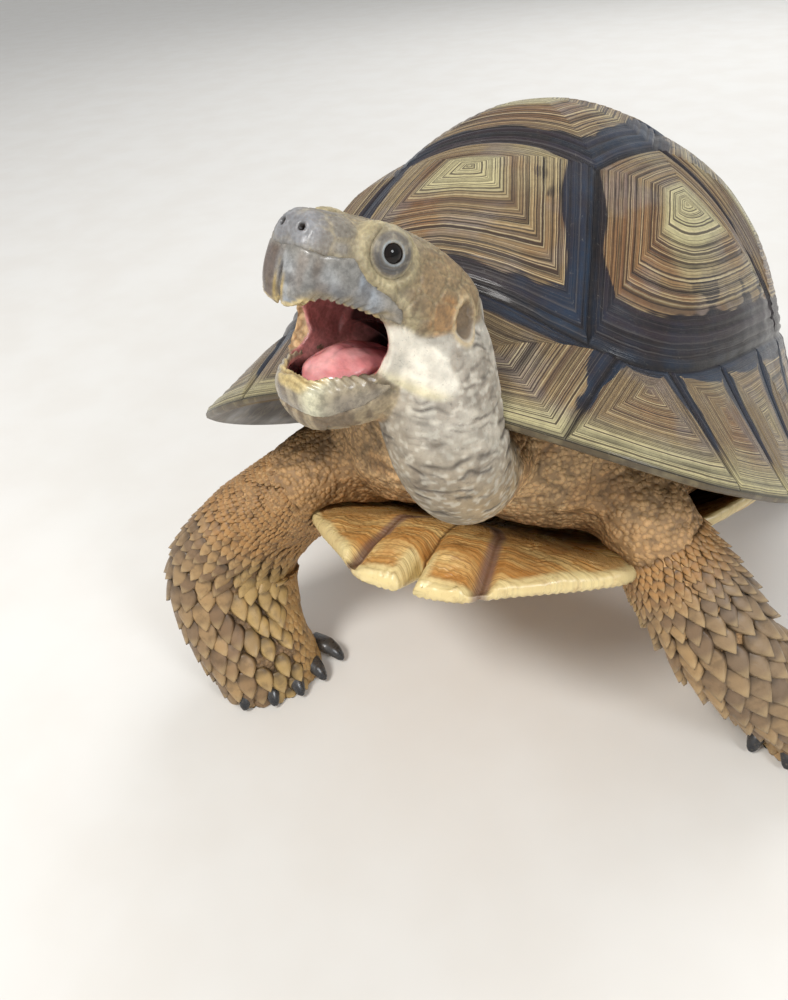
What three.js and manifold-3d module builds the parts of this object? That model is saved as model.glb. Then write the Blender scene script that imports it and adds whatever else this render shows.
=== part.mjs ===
// African spurred tortoise, reared up on its forelegs with its head raised and its mouth open.
// Millimetres; +Z up, -Y is the animal's front, +X its left side.
import * as THREE from "three";
import { mergeVertices } from "three/addons/utils/BufferGeometryUtils.js";
import Module from "manifold-3d";

const wasm = await Module();
wasm.setup();

const { degToRad, lerp } = THREE.MathUtils;
const SIDES = { left: 1, right: -1 };
const GAP = 0.3; // air between pieces that meet
const CUTTER = { depth: 60, bevelEnabled: false }; // how deep a block used for cutting is

// ---------------------------------------------------------------------------
// Driving sizes
// ---------------------------------------------------------------------------

// The shell in its own level frame: origin under the middle of the plastron.
const SHELL = {
  frontLength: 151,
  rearLength: 133,
  halfWidth: 105.5,
  squareness: 2.31, // power of the superellipse that the shell's plan follows
  rimHeight: 30,
  frontRise: 41,
  rearRise: 6.5,
  dome: 140,
  roundness: 1.38, // half angle of the arc that the dome's profile follows
  boxiness: 0.94,
  flare: 28,
  flareFrom: 0.8,
  thickness: 5,
  rimThickness: 2.4,
  seamDepth: 0.9,
};
const STANCE = { pitch: -23.2, roll: -4.9, at: [-2, 10, 46] };

// The seams between marginal scutes, in degrees from the front, on the rim and at its inner edge.
const MARGINAL_RIM = [0, 25, 46, 56, 67, 79, 91, 104, 118, 132, 148, 166];
const MARGINAL_INNER = [0, 32, 40, 51, 64, 79, 91, 104, 117, 131, 147, 163];

// Heights of the pyramids of the thirteen large scutes.
const VERTEBRAL_PEAKS = [3, 5, 5, 5, 4];
const COSTAL_PEAKS = [6, 4, 5, 5];
const MARGINAL_PEAK = 1.2;

const HEAD = { at: [-9, -118.8, 212.4], turn: [-33, 11, -18.1] };
const JAW = { hinge: [0, 17, -10], gape: 30 };

// ---------------------------------------------------------------------------
// Solids: joining, cutting and lofting
// ---------------------------------------------------------------------------

const vec = (x, y, z) => new THREE.Vector3(x, y, z);

function poseMatrix(at, turnDegrees = [0, 0, 0], order = "XYZ") {
  const turn = new THREE.Euler(...turnDegrees.map(degToRad), order);
  const rotation = new THREE.Quaternion().setFromEuler(turn);
  return new THREE.Matrix4().compose(vec(...at), rotation, vec(1, 1, 1));
}

function solidOf(geometry, matrix = new THREE.Matrix4()) {
  const bare = geometry.clone().applyMatrix4(matrix);
  bare.deleteAttribute("normal");
  bare.deleteAttribute("uv");
  const merged = mergeVertices(bare, 1e-3);
  const triVerts = new Uint32Array(merged.index.array);
  const vertProperties = new Float32Array(merged.attributes.position.array);
  const build = () => new wasm.Manifold(new wasm.Mesh({ numProp: 3, vertProperties, triVerts }));
  const made = build();
  if (made.volume() > 0) return made;
  for (let i = 0; i < triVerts.length; i += 3) {
    [triVerts[i + 1], triVerts[i + 2]] = [triVerts[i + 2], triVerts[i + 1]];
  }
  return build();
}

function geometryOf(solid) {
  const mesh = solid.getMesh();
  const geometry = new THREE.BufferGeometry();
  geometry.setAttribute("position", new THREE.BufferAttribute(mesh.vertProperties, 3));
  geometry.setIndex(new THREE.BufferAttribute(mesh.triVerts, 1));
  geometry.computeVertexNormals();
  return geometry;
}

const join = (solids) => solids.reduce((sum, solid) => sum.add(solid));
const cut = (solid, cutters) => cutters.reduce((rest, cutter) => rest.subtract(cutter), solid);
const moved = (solid, matrix) => solidOf(geometryOf(solid), matrix);

function largestBody(solid) {
  return solid.decompose().reduce((best, body) => (body.volume() > best.volume() ? body : best));
}

// A closed surface through rings of points, with a fan over each end.
function loft(rings) {
  const size = rings[0].length;
  const middle = (ring) => ring.reduce((sum, p) => sum.add(p), vec(0, 0, 0)).divideScalar(size);
  const points = [...rings.flat(), middle(rings[0]), middle(rings.at(-1))];
  const faces = [];
  for (let r = 0; r + 1 < rings.length; r++) {
    for (let i = 0; i < size; i++) {
      const next = (i + 1) % size;
      const [a, b, c, d] = [r * size + i, r * size + next, (r + 1) * size + next, (r + 1) * size + i];
      faces.push(a, b, c, a, c, d);
    }
  }
  const lastRing = (rings.length - 1) * size;
  for (let i = 0; i < size; i++) {
    const next = (i + 1) % size;
    faces.push(points.length - 2, next, i);
    faces.push(points.length - 1, lastRing + i, lastRing + next);
  }
  return indexedGeometry(points, faces);
}

function indexedGeometry(points, faces) {
  const geometry = new THREE.BufferGeometry().setFromPoints(points);
  geometry.setIndex(faces);
  return geometry;
}

const signedPower = (value, power) => Math.sign(value) * Math.abs(value) ** power;

// A ring across the Y axis: half width, top, bottom, the level of its widest place and a power.
function crossRing({ y, half, top, bottom, mid, power = 2.2 }, segments, grow = 0) {
  const level = mid ?? (top + bottom) / 2;
  return Array.from({ length: segments }, (_, i) => {
    const angle = (2 * Math.PI * (i + 0.5)) / segments;
    const across = signedPower(Math.cos(angle), 2 / power);
    const along = signedPower(Math.sin(angle), 2 / power);
    const reach = along > 0 ? top + grow - level : level - bottom + grow;
    return vec((half + grow) * across, y, level + reach * along);
  });
}

function crossLoft(stations, segments, grow = 0) {
  const rings = stations.map((station, i) => {
    const end = i === 0 ? -grow : i === stations.length - 1 ? grow : 0;
    return crossRing({ ...station, y: station.y + end }, segments, grow);
  });
  return loft(rings);
}

// A limb along a smooth path. Each station is [x, y, z, half width, half thickness].
function limbLoft(stations, side, { rings, segments, power = 2.2, grow = 0 }) {
  const path = new THREE.CatmullRomCurve3(stations.map(([x, y, z]) => vec(x, y, z)));
  const girth = new THREE.CatmullRomCurve3(stations.map(([, , , wide, thick]) => vec(wide, thick, 0)));
  return loft(
    Array.from({ length: rings }, (_, r) => {
      const t = r / (rings - 1);
      const centre = path.getPoint(t);
      const { x: wide, y: thick } = girth.getPoint(t);
      const along = path.getTangent(t);
      const across = side.clone().addScaledVector(along, -side.dot(along)).normalize();
      const up = along.clone().cross(across);
      return Array.from({ length: segments }, (_, i) => {
        const angle = (2 * Math.PI * i) / segments;
        return centre
          .clone()
          .addScaledVector(across, (wide + grow) * signedPower(Math.cos(angle), 2 / power))
          .addScaledVector(up, (thick + grow) * signedPower(Math.sin(angle), 2 / power));
      });
    }),
  );
}

function ellipsoid([x, y, z], [rx, ry, rz], grow = 0, detail = 10) {
  const sphere = new THREE.SphereGeometry(1, detail, Math.round(detail * 0.7));
  sphere.scale(rx + grow, ry + grow, rz + grow);
  return sphere.translate(x, y, z);
}

const mirrored = ([x, y, z], sign) => [sign * x, y, z];

// ---------------------------------------------------------------------------
// Carapace
// ---------------------------------------------------------------------------

// Disc coordinates: a runs to the animal's left, b to its rear, and the rim is the unit circle.
const discPoint = (degreesFromFront, radius) => [
  radius * Math.sin(degToRad(degreesFromFront)),
  -radius * Math.cos(degToRad(degreesFromFront)),
];

function carapaceBase(a, b) {
  const radius = Math.hypot(a, b);
  const angle = Math.atan2(b, a);
  const [c, s] = [Math.cos(angle), Math.sin(angle)];
  const plan = (Math.abs(c) ** SHELL.squareness + Math.abs(s) ** SHELL.squareness) ** (-1 / SHELL.squareness);
  const rimX = SHELL.halfWidth * plan * c;
  const rimY = (s > 0 ? SHELL.rearLength : SHELL.frontLength) * plan * s;
  const rimZ =
    SHELL.rimHeight + SHELL.frontRise * Math.max(-s, 0) ** 2.2 + SHELL.rearRise * Math.max(s, 0) ** 2.5;
  const arc = SHELL.roundness;
  const spread = (Math.sin(arc * radius) / Math.sin(arc)) ** SHELL.boxiness;
  const climb = (Math.cos(arc * radius) - Math.cos(arc)) / (1 - Math.cos(arc));
  const flareShare = Math.max((radius - SHELL.flareFrom) / (1 - SHELL.flareFrom), 0) ** 1.6;
  const cornerShare = Math.max(1 - Math.abs(Math.abs(s) - 0.75) / 0.6, 0);
  const flare = (SHELL.flare * flareShare * (0.35 + 0.65 * cornerShare)) / (Math.hypot(rimX, rimY) || 1);
  const top = SHELL.rimHeight + SHELL.dome;
  return vec(rimX * (spread + flare), rimY * (spread + flare), rimZ + (top - rimZ) * climb);
}

function carapacePoint(a, b, lift = 0) {
  const step = 1e-3;
  const alongA = carapaceBase(a + step, b).sub(carapaceBase(a - step, b));
  const alongB = carapaceBase(a, b + step).sub(carapaceBase(a, b - step));
  const normal = alongB.cross(alongA).normalize();
  if (normal.z < 0) normal.negate();
  return carapaceBase(a, b).addScaledVector(normal, lift);
}

// Rings of a scute from its seams in to its areola, as shares of its size.
const SCUTE_RINGS = [0.93, 0.6, 0.22];
const MARGINAL_RINGS = [0.9, 0.4];
const AREOLA_FLATNESS = 0.85; // how far up its pyramid the areola's middle stays
// Rings of the inner face: share of the disc's radius and depth below the outer face.
const INNER_RINGS = [
  [1, SHELL.rimThickness],
  [0.95, SHELL.thickness],
  [0.8, SHELL.thickness],
  [0.55, SHELL.thickness],
  [0.25, SHELL.thickness],
];
const SEAM_STEP = 0.15; // share of the disc's radius between points along a seam

const bump = (x, centre, width) => Math.exp(-(((x - centre) / width) ** 2));
function innerRadius(degrees) {
  const away = Math.abs(degrees > 180 ? 360 - degrees : degrees);
  return 0.8 + 0.08 * bump(away, 36, 22) - 0.05 * bump(away, 90, 40) + 0.02 * bump(away, 145, 25);
}

// Corners where seams meet. Marginal ones are given by their angle on the rim or the inner edge.
const onRim = (degrees) => ({ degrees, ring: "rim" });
const onInner = (degrees) => ({ degrees, ring: "inner" });
const inside = (a, b) => ({ a, b });
const FIRST_SEAM = 27.8; // where the seam between the first vertebral and costal meets the marginals
const LAST_SEAM = 153;
const TAIL_SEAM = 163; // the inner end of the seam beside the scute over the tail
const VERTEBRAL_CORNERS = [inside(0.25, -0.45), inside(0.25, -0.1), inside(0.24, 0.22), inside(0.2, 0.5)];
const COSTAL_CORNERS = [inside(0.3, -0.25), inside(0.3, 0.06), inside(0.28, 0.37)];
const COSTAL_FEET = [79, 104, 131]; // where the seams between costals meet the marginals
const VERTEBRAL_AREOLAS = [-0.56, -0.25, 0.07, 0.37, 0.63];
const COSTAL_AREOLAS = [
  [0.42, -0.4],
  [0.5, -0.08],
  [0.49, 0.22],
  [0.42, 0.5],
];
const MARGINAL_AREOLA = 0.91; // its share of the disc's radius

function cornerPoint(corner) {
  if (corner.ring === "rim") return discPoint(corner.degrees, 1);
  if (corner.ring === "inner") return discPoint(corner.degrees, innerRadius(corner.degrees));
  return [corner.a, corner.b];
}

function mirrorCorner(corner) {
  return corner.ring ? { ...corner, degrees: -corner.degrees } : { a: -corner.a, b: corner.b };
}

// Points from one corner up to, but without, the next: a line, or an arc of the rim or inner edge.
function seamPoints(from, to) {
  const [[a0, b0], [a1, b1]] = [cornerPoint(from), cornerPoint(to)];
  const steps = Math.max(1, Math.round(Math.hypot(a1 - a0, b1 - b0) / SEAM_STEP));
  return Array.from({ length: steps }, (_, i) => {
    const t = i / steps;
    if (from.ring && from.ring === to.ring) {
      return cornerPoint({ ring: from.ring, degrees: lerp(from.degrees, to.degrees, t) });
    }
    return [lerp(a0, a1, t), lerp(b0, b1, t)];
  });
}

const outlinePoints = (corners) =>
  corners.flatMap((corner, i) => seamPoints(corner, corners[(i + 1) % corners.length]));

// The corners of the inner edge between two angles, ends included.
function innerCorners(from, to) {
  const seams = [...MARGINAL_INNER, FIRST_SEAM, LAST_SEAM];
  const stops = seams.filter((degrees) => degrees > from && degrees < to);
  return [from, ...new Set(stops.sort((p, q) => p - q)), to].map(onInner);
}

function scuteOutlines() {
  const outlines = [];
  const add = (corners, areola, peak) => outlines.push({ corners, areola, peak });
  const both = (corners, [a, b], peak) => {
    add(corners, [a, b], peak);
    add(corners.map(mirrorCorner), [-a, b], peak);
  };
  // Vertebrals, front to rear
  const [v1, v2, v3, v4] = VERTEBRAL_CORNERS;
  const [c1, c2, c3] = COSTAL_CORNERS;
  const vertebralSides = [[v1], [v1, c1, v2], [v2, c2, v3], [v3, c3, v4], [v4]];
  const frontArc = [-FIRST_SEAM, 0, FIRST_SEAM].map(onInner);
  const rearArc = [LAST_SEAM, TAIL_SEAM, 180, 360 - TAIL_SEAM, 360 - LAST_SEAM].map(onInner);
  vertebralSides.forEach((side, i) => {
    const ends = [i === 0 ? frontArc : [], i === 4 ? rearArc : []];
    const corners = [...ends[0], ...side, ...ends[1], ...side.map(mirrorCorner).reverse()];
    add(corners, [0, VERTEBRAL_AREOLAS[i]], VERTEBRAL_PEAKS[i]);
  });
  // Costals, front to rear
  const costalFeet = [FIRST_SEAM, ...COSTAL_FEET, LAST_SEAM];
  const costalTops = [
    [v1, c1],
    [c1, v2, c2],
    [c2, v3, c3],
    [c3, v4],
  ];
  costalTops.forEach((top, i) => {
    const foot = innerCorners(costalFeet[i], costalFeet[i + 1]);
    both([...foot, ...top.toReversed()], COSTAL_AREOLAS[i], COSTAL_PEAKS[i]);
  });
  // Marginals, then the one over the tail
  for (let i = 0; i + 1 < MARGINAL_RIM.length; i++) {
    const [rimFrom, rimTo] = [MARGINAL_RIM[i], MARGINAL_RIM[i + 1]];
    const [innerFrom, innerTo] = [MARGINAL_INNER[i], MARGINAL_INNER[i + 1]];
    const middle = (innerFrom + innerTo + rimFrom + rimTo) / 4;
    const outline = [...innerCorners(innerFrom, innerTo), onRim(rimTo), onRim(rimFrom)];
    both(outline, discPoint(middle, MARGINAL_AREOLA), MARGINAL_PEAK);
  }
  const lastSeam = MARGINAL_RIM.at(-1);
  const tailInner = [TAIL_SEAM, 180, 360 - TAIL_SEAM].map(onInner);
  const tailRim = [360 - lastSeam, 180, lastSeam].map(onRim);
  add([...tailInner, ...tailRim], discPoint(180, MARGINAL_AREOLA), MARGINAL_PEAK);
  return outlines;
}

// The rim as a closed list of disc points, in the same steps as the scutes use there.
function rimPoints() {
  const half = [...MARGINAL_RIM, 180];
  const otherHalf = half.slice(0, -1).map((degrees) => 360 - degrees);
  const around = [...half, ...otherHalf.reverse()].map(onRim);
  return around.slice(1).flatMap((corner, i) => seamPoints(around[i], corner));
}

function carapaceGeometry(grow = 0) {
  const points = [];
  const faces = [];
  const known = new Map();
  const widen = 1 + grow / SHELL.halfWidth; // so that the rim grows outward too
  const addPoint = (a, b, lift) => points.push(carapacePoint(a * widen, b * widen, lift)) - 1;
  const sharedPoint = ([a, b]) => {
    const key = `${a.toFixed(4)},${b.toFixed(4)}`.replaceAll("-0.0000", "0.0000");
    if (!known.has(key)) known.set(key, addPoint(a, b, grow));
    return known.get(key);
  };
  const band = (outer, inner) => {
    outer.forEach((p, i) => {
      const j = (i + 1) % outer.length;
      faces.push(p, outer[j], inner[j], p, inner[j], inner[i]);
    });
  };
  // Outer face: each scute steps up from its seams and climbs to its areola
  for (const { corners, areola, peak } of scuteOutlines()) {
    const seamCycle = orderedOutline(outlinePoints(corners));
    let outer = seamCycle.map(sharedPoint);
    for (const share of peak > MARGINAL_PEAK ? SCUTE_RINGS : MARGINAL_RINGS) {
      const lift = SHELL.seamDepth + peak * (1 - share);
      const ring = seamCycle.map(([a, b]) =>
        addPoint(lerp(areola[0], a, share), lerp(areola[1], b, share), grow + lift),
      );
      band(outer, ring);
      outer = ring;
    }
    const centre = addPoint(...areola, grow + SHELL.seamDepth + peak * AREOLA_FLATNESS);
    outer.forEach((p, i) => faces.push(p, outer[(i + 1) % outer.length], centre));
  }
  // Rim and inner face
  const rim = rimPoints();
  let ring = rim.map(sharedPoint);
  for (const [share, depth] of INNER_RINGS) {
    const inner = rim.map(([a, b]) => addPoint(a * share, b * share, -depth - grow));
    band(inner, ring);
    ring = inner;
  }
  const crown = addPoint(0, 0, -SHELL.thickness - grow);
  ring.forEach((p, i) => faces.push(ring[(i + 1) % ring.length], p, crown));
  return indexedGeometry(points, faces);
}

// The outline turned so that it runs the same way round for every scute.
function orderedOutline(outline) {
  const area = outline.reduce((sum, [a, b], i) => {
    const [c, d] = outline[(i + 1) % outline.length];
    return sum + a * d - b * c;
  }, 0);
  return area > 0 ? outline : outline.toReversed();
}

// ---------------------------------------------------------------------------
// Plastron and trunk, in the shell's level frame
// ---------------------------------------------------------------------------

// Each station: y, half width, how far its edge turns up, and thickness.
const PLASTRON_STATIONS = [
  [-147, 17, 1, 7.5],
  [-144, 23, 1, 10],
  [-134, 34, 2, 15.5],
  [-120, 52, 3, 21],
  [-107, 66, 4, 19],
  [-90, 66, 4, 13],
  [-72, 66, 5, 8],
  [-58, 84, 15, 8],
  [-48, 100, 27, 8],
  [-20, 104, 29, 8],
  [20, 104, 29, 8],
  [48, 99, 27, 8],
  [58, 82, 14, 8],
  [70, 62, 4, 8],
  [86, 57, 3, 8],
  [101, 49, 3, 8],
  [113, 36, 2, 8],
  [121, 22, 1, 6],
];
const PLASTRON_TURN_POWER = 4;
const PLASTRON_THIN = 8; // as thick as the plate is towards its edges
const GULAR_NOTCH = { tip: -124, mouth: -152, halfMouth: 10 };
const ANAL_NOTCH = { tip: 106, mouth: 128, halfMouth: 17 };

// The plate thickens from its edges to its middle, most at the gular lobes.
function plastronThickness(thickness, share) {
  return thickness - Math.max(thickness - PLASTRON_THIN, 0) * share ** 2;
}

function plastronSection([y, half, turnUp, thickness], grow) {
  const across = [-1, -0.86, -0.7, -0.45, 0, 0.45, 0.7, 0.86, 1];
  const level = (share) => turnUp * Math.abs(share) ** PLASTRON_TURN_POWER;
  const under = across.map((share) => vec(share * (half + grow), y, level(share) - grow));
  const over = across.toReversed().map((share) => {
    const rounding = Math.abs(share) === 1 ? 0.55 : 1;
    const thick = plastronThickness(thickness, share) * rounding;
    return vec(share * (half + grow), y, level(share) + thick + grow);
  });
  return [...under, ...over];
}

function notchWedge({ tip, mouth, halfMouth }, grow) {
  const outline = new THREE.Shape([
    new THREE.Vector2(0, tip),
    new THREE.Vector2(-halfMouth + grow, mouth),
    new THREE.Vector2(halfMouth - grow, mouth),
  ]);
  return new THREE.ExtrudeGeometry(outline, CUTTER).translate(0, 0, -CUTTER.depth / 2);
}

function plastronSolid(grow = 0) {
  const plate = solidOf(loft(PLASTRON_STATIONS.map((station) => plastronSection(station, grow))));
  return cut(plate, [GULAR_NOTCH, ANAL_NOTCH].map((notch) => solidOf(notchWedge(notch, grow))));
}

// The trunk fills the shell: its top follows the carapace, its walls are the skin in the openings.
// Each ring of the wall: its share of the shoulder ring at the sides and at the ends, and how far
// down it is from the shoulder to the plastron.
const TRUNK_WALL = [
  [0.985, 1.0, 0.12],
  [0.97, 0.99, 0.45],
  [0.9, 0.95, 0.75],
  [0.74, 0.87, 0.92],
  [0.56, 0.74, 1],
];
const TRUNK_ROOF = [0.25, 0.55, 0.8]; // rings of the roof, as shares of the disc's radius
const TRUNK_SEGMENTS = 28;
const TRUNK_CLEARANCE = 2.2;
const TRUNK_FLOOR = 9.5;

// The level of the plastron's upper face.
function plastronTop(x, y) {
  const after = PLASTRON_STATIONS.findIndex(([station]) => station > y);
  const [next, last] = [PLASTRON_STATIONS[after], PLASTRON_STATIONS[after - 1]];
  if (!next || !last) return -Infinity;
  const share = (y - last[0]) / (next[0] - last[0]);
  const [, half, turnUp, thickness] = last.map((value, i) => lerp(value, next[i], share));
  const across = Math.min(Math.abs(x) / half, 1);
  return turnUp * across ** PLASTRON_TURN_POWER + plastronThickness(thickness, across);
}

function trunkSolid(grow = 0) {
  const roofDepth = SHELL.thickness + TRUNK_CLEARANCE - grow;
  const angles = Array.from({ length: TRUNK_SEGMENTS }, (_, i) => (360 * i) / TRUNK_SEGMENTS);
  const roof = TRUNK_ROOF.map((share) =>
    angles.map((degrees) => carapacePoint(...discPoint(degrees, share), -roofDepth)),
  );
  const shoulder = roof.at(-1);
  const wall = TRUNK_WALL.map(([atSides, atEnds, drop]) =>
    shoulder.map((p, i) => {
      const share = lerp(atSides, atEnds, Math.cos(degToRad(angles[i])) ** 2) + grow / SHELL.halfWidth;
      const [x, y] = [p.x * share, p.y * share];
      const lowest = plastronTop(x, y) + TRUNK_CLEARANCE;
      return vec(x, y, Math.max(lerp(p.z, TRUNK_FLOOR, drop), lowest) - grow);
    }),
  );
  return solidOf(loft([...roof, ...wall]));
}

// ---------------------------------------------------------------------------
// Head, jaw, eyes, tongue and throat, in the head's own frame
// ---------------------------------------------------------------------------

const HEAD_STATIONS = [
  { y: -28.8, half: 5.4, top: 6, bottom: -5, power: 2.4 },
  { y: -27.4, half: 8.4, top: 7.8, bottom: -12.8, power: 2.6 },
  { y: -23.5, half: 10.8, top: 9.2, bottom: -12.2, mid: 0, power: 2.7 },
  { y: -17, half: 12.6, top: 10.4, bottom: -10.8, mid: -2, power: 2.7 },
  { y: -9, half: 14.6, top: 12, bottom: -10.4, mid: -3, power: 2.6 },
  { y: 0, half: 17, top: 13, bottom: -11.2, mid: -4, power: 2.5 },
  { y: 8, half: 18.9, top: 13, bottom: -12.2, mid: -4, power: 2.4 },
  { y: 15, half: 19.4, top: 12, bottom: -13, mid: -3, power: 2.3 },
  { y: 22, half: 18, top: 10.2, bottom: -12.4, mid: -2, power: 2.2 },
  { y: 28, half: 13, top: 7, bottom: -10, mid: -2, power: 2.1 },
];
const PALATE_STATIONS = [
  { y: -25.6, half: 4.8, top: -7, bottom: -16, power: 2.4 },
  { y: -23.4, half: 7.8, top: -5.4, bottom: -18, power: 2.6 },
  { y: -16, half: 10.4, top: -4, bottom: -20, power: 2.8 },
  { y: -8, half: 12, top: -3.6, bottom: -20, power: 2.8 },
  { y: 0, half: 13.8, top: -4.4, bottom: -20, power: 2.8 },
  { y: 6, half: 14, top: -6.4, bottom: -20, power: 2.6 },
];
const JAW_STATIONS = [
  { y: -21.8, half: 5.4, top: -11.2, bottom: -17, power: 2.2 },
  { y: -20.6, half: 8.8, top: -9.8, bottom: -22, mid: -15, power: 2.2 },
  { y: -15, half: 12, top: -7.8, bottom: -25, mid: -14, power: 2.7 },
  { y: -8, half: 14.2, top: -8.4, bottom: -26.4, mid: -14, power: 2.6 },
  { y: 0, half: 15.8, top: -9.8, bottom: -26.8, mid: -15, power: 2.5 },
  { y: 8, half: 17, top: -10.8, bottom: -26, mid: -15, power: 2.4 },
  { y: 15, half: 16.4, top: -9, bottom: -23, power: 2.3 },
];
const MOUTH_FLOOR_STATIONS = [
  { y: -19.4, half: 4.8, top: -4, bottom: -13.6, power: 2.4 },
  { y: -15, half: 8.8, top: -4, bottom: -15.4, power: 2.8 },
  { y: -8, half: 11.2, top: -4, bottom: -16, power: 2.8 },
  { y: 0, half: 12.8, top: -4, bottom: -16, power: 2.8 },
  { y: 17, half: 12, top: -4, bottom: -15, power: 2.6 },
];
const THROAT_STATIONS = [
  { y: 1, half: 14.4, top: -8, bottom: -18, power: 2.3 },
  { y: 8, half: 17, top: -7, bottom: -24, power: 2.2 },
  { y: 16, half: 17, top: -6, bottom: -29, power: 2.1 },
  { y: 25, half: 14, top: -4, bottom: -27, power: 2 },
];
// The skin that joins the jaws behind the corners of the mouth, and the curve of its front edge.
const CORNER_STATIONS = [
  { y: -7, half: 14.8, top: -8, bottom: -22.5, power: 2.6 },
  { y: 2, half: 16.2, top: -8, bottom: -23, power: 2.4 },
];
const GAPE_EDGE = { at: [0, -12, -17], radii: [30, 9.6, 9.4] };
const GULLET = { at: [0, 1, -14], radii: [11, 15, 5] };
const BROW = { at: [9.8, -9.6, 7], radii: [5.2, 8.2, 5.4] };
const EYE = { at: [12, -10.2, 5.8], radius: 3.5 };
const EYE_RADII = [EYE.radius, EYE.radius, EYE.radius];
const TONGUE_STATIONS = [
  { y: -16, half: 3, top: -12.6, bottom: -14, power: 2 },
  { y: -13.6, half: 6, top: -10.4, bottom: -14.5, power: 2.2 },
  { y: -7, half: 8.2, top: -8.8, bottom: -15.2, power: 2.2 },
  { y: 2, half: 8.4, top: -9, bottom: -15.3, power: 2.2 },
  { y: 9, half: 6.4, top: -11.4, bottom: -14.6, power: 2.2 },
];
// The upper beak is the part of the head below this line, seen from the side: y, z.
const BEAK_LINE = [
  [-40, 0.5],
  [-26, 0.5],
  [-19, 2.6],
  [-11, -1.8],
  [-3, -5],
  [3, -13],
];
const LOWER_BEAK_LINE = [
  [-40, -19],
  [-20, -18.6],
  [-10, -17.6],
  [-2, -15],
  [1, -8],
];

const sidesOf = (make) => Object.values(SIDES).map(make);

function headShape(grow = 0) {
  const skull = solidOf(crossLoft(HEAD_STATIONS, 20, grow));
  const brows = sidesOf((sign) => solidOf(ellipsoid(mirrored(BROW.at, sign), BROW.radii, grow)));
  return join([skull, ...brows]);
}

function jawShape(grow = 0) {
  return solidOf(crossLoft(JAW_STATIONS, 18, grow), jawMatrix());
}

function jawMatrix() {
  const [x, y, z] = JAW.hinge;
  const toHinge = new THREE.Matrix4().makeTranslation(-x, -y, -z);
  return poseMatrix(JAW.hinge, [JAW.gape, 0, 0]).multiply(toHinge);
}

// A block that takes everything between a line drawn across the head and a level past the mouth.
// The gap draws the line back from the rest of the head.
function mouthSide(line, level, gap) {
  const outline = line.map(([y, z]) => new THREE.Vector2(y - gap, z + Math.sign(level) * gap));
  outline.push(new THREE.Vector2(line.at(-1)[0] - gap, level), new THREE.Vector2(line[0][0] - gap, level));
  const block = new THREE.ExtrudeGeometry(new THREE.Shape(outline), CUTTER);
  block.translate(0, 0, -CUTTER.depth / 2);
  const upright = new THREE.Matrix4().makeBasis(vec(0, 1, 0), vec(0, 0, 1), vec(1, 0, 0));
  return block.applyMatrix4(upright);
}

function headPieces(shellRoom) {
  const palate = solidOf(crossLoft(PALATE_STATIONS, 16));
  const gullet = solidOf(ellipsoid(GULLET.at, GULLET.radii));
  const eyeball = (sign, grow) => solidOf(ellipsoid(mirrored(EYE.at, sign), EYE_RADII, grow));
  const sockets = sidesOf((sign) => eyeball(sign, GAP));
  const skull = cut(headShape(), [palate, gullet, ...sockets]);
  const beakUpper = largestBody(skull.intersect(solidOf(mouthSide(BEAK_LINE, -40, GAP))));
  const head = largestBody(skull.subtract(solidOf(mouthSide(BEAK_LINE, -40, 0))));

  const mouthFloor = solidOf(crossLoft(MOUTH_FLOOR_STATIONS, 16), jawMatrix());
  const mandible = cut(jawShape(), [mouthFloor, gullet, headShape(GAP), shellRoom]);
  const lowerLine = (gap) => solidOf(mouthSide(LOWER_BEAK_LINE, 30, gap), jawMatrix());
  const beakLower = largestBody(mandible.intersect(lowerLine(GAP)));
  const jaw = largestBody(mandible.subtract(lowerLine(0)));

  const throat = largestBody(cut(throatSolid(0), [headShape(GAP), jawShape(GAP), shellRoom]));
  const tongueLoft = solidOf(crossLoft(TONGUE_STATIONS, 14), jawMatrix());
  const tongue = largestBody(cut(tongueLoft, [throatSolid(GAP), headShape(GAP)]));
  const eyes = sidesOf((sign) => eyeball(sign, 0));
  return { head, beakUpper, jaw, beakLower, throat, tongue, eyes };
}

function throatSolid(grow) {
  const gullet = solidOf(ellipsoid(GULLET.at, GULLET.radii, -grow));
  const gape = solidOf(ellipsoid(GAPE_EDGE.at, GAPE_EDGE.radii, -grow));
  const palate = solidOf(crossLoft(PALATE_STATIONS, 16, -grow));
  const mouthFloor = solidOf(crossLoft(MOUTH_FLOOR_STATIONS, 16, -grow), jawMatrix());
  const corners = cut(solidOf(crossLoft(CORNER_STATIONS, 16, grow)), [gape, palate, mouthFloor]);
  return join([solidOf(crossLoft(THROAT_STATIONS, 16, grow)), corners]).subtract(gullet);
}

// ---------------------------------------------------------------------------
// Neck, legs, claws and tail, in the standing frame
// ---------------------------------------------------------------------------

// Each station: x, y, z, half width, half thickness.
const NECK_STATIONS = [
  [4, -84, 141, 20, 17],
  [9, -103, 147, 17, 15.5],
  [12, -117, 157, 15.5, 16.5],
  [10.5, -122, 170, 16.5, 18.5],
  [4, -116, 185, 17.5, 19],
  [-3, -107, 198, 16.5, 14.5],
];
const FORELEG_STATIONS = {
  right: [
    [-60, -54, 104, 24, 22],
    [-76, -72, 95, 25, 20],
    [-97, -86, 78, 27, 19.5],
    [-110.5, -96, 56, 30, 17.5],
    [-107, -103, 34, 28, 17],
    [-99, -107, 16, 25, 19.5],
    [-97, -105, 2, 25, 21.5],
    [-97, -104, -6, 23, 20],
  ],
  left: [
    [48, -54, 116, 20, 18],
    [60, -63, 104, 19, 18],
    [74, -63, 84, 22, 20],
    [88, -57, 58, 28, 20],
    [105, -50, 36, 28, 19],
    [122, -42, 18, 25.5, 19],
    [130, -39, 2, 25, 21.5],
    [131, -39, -6, 23, 20],
  ],
};
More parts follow.
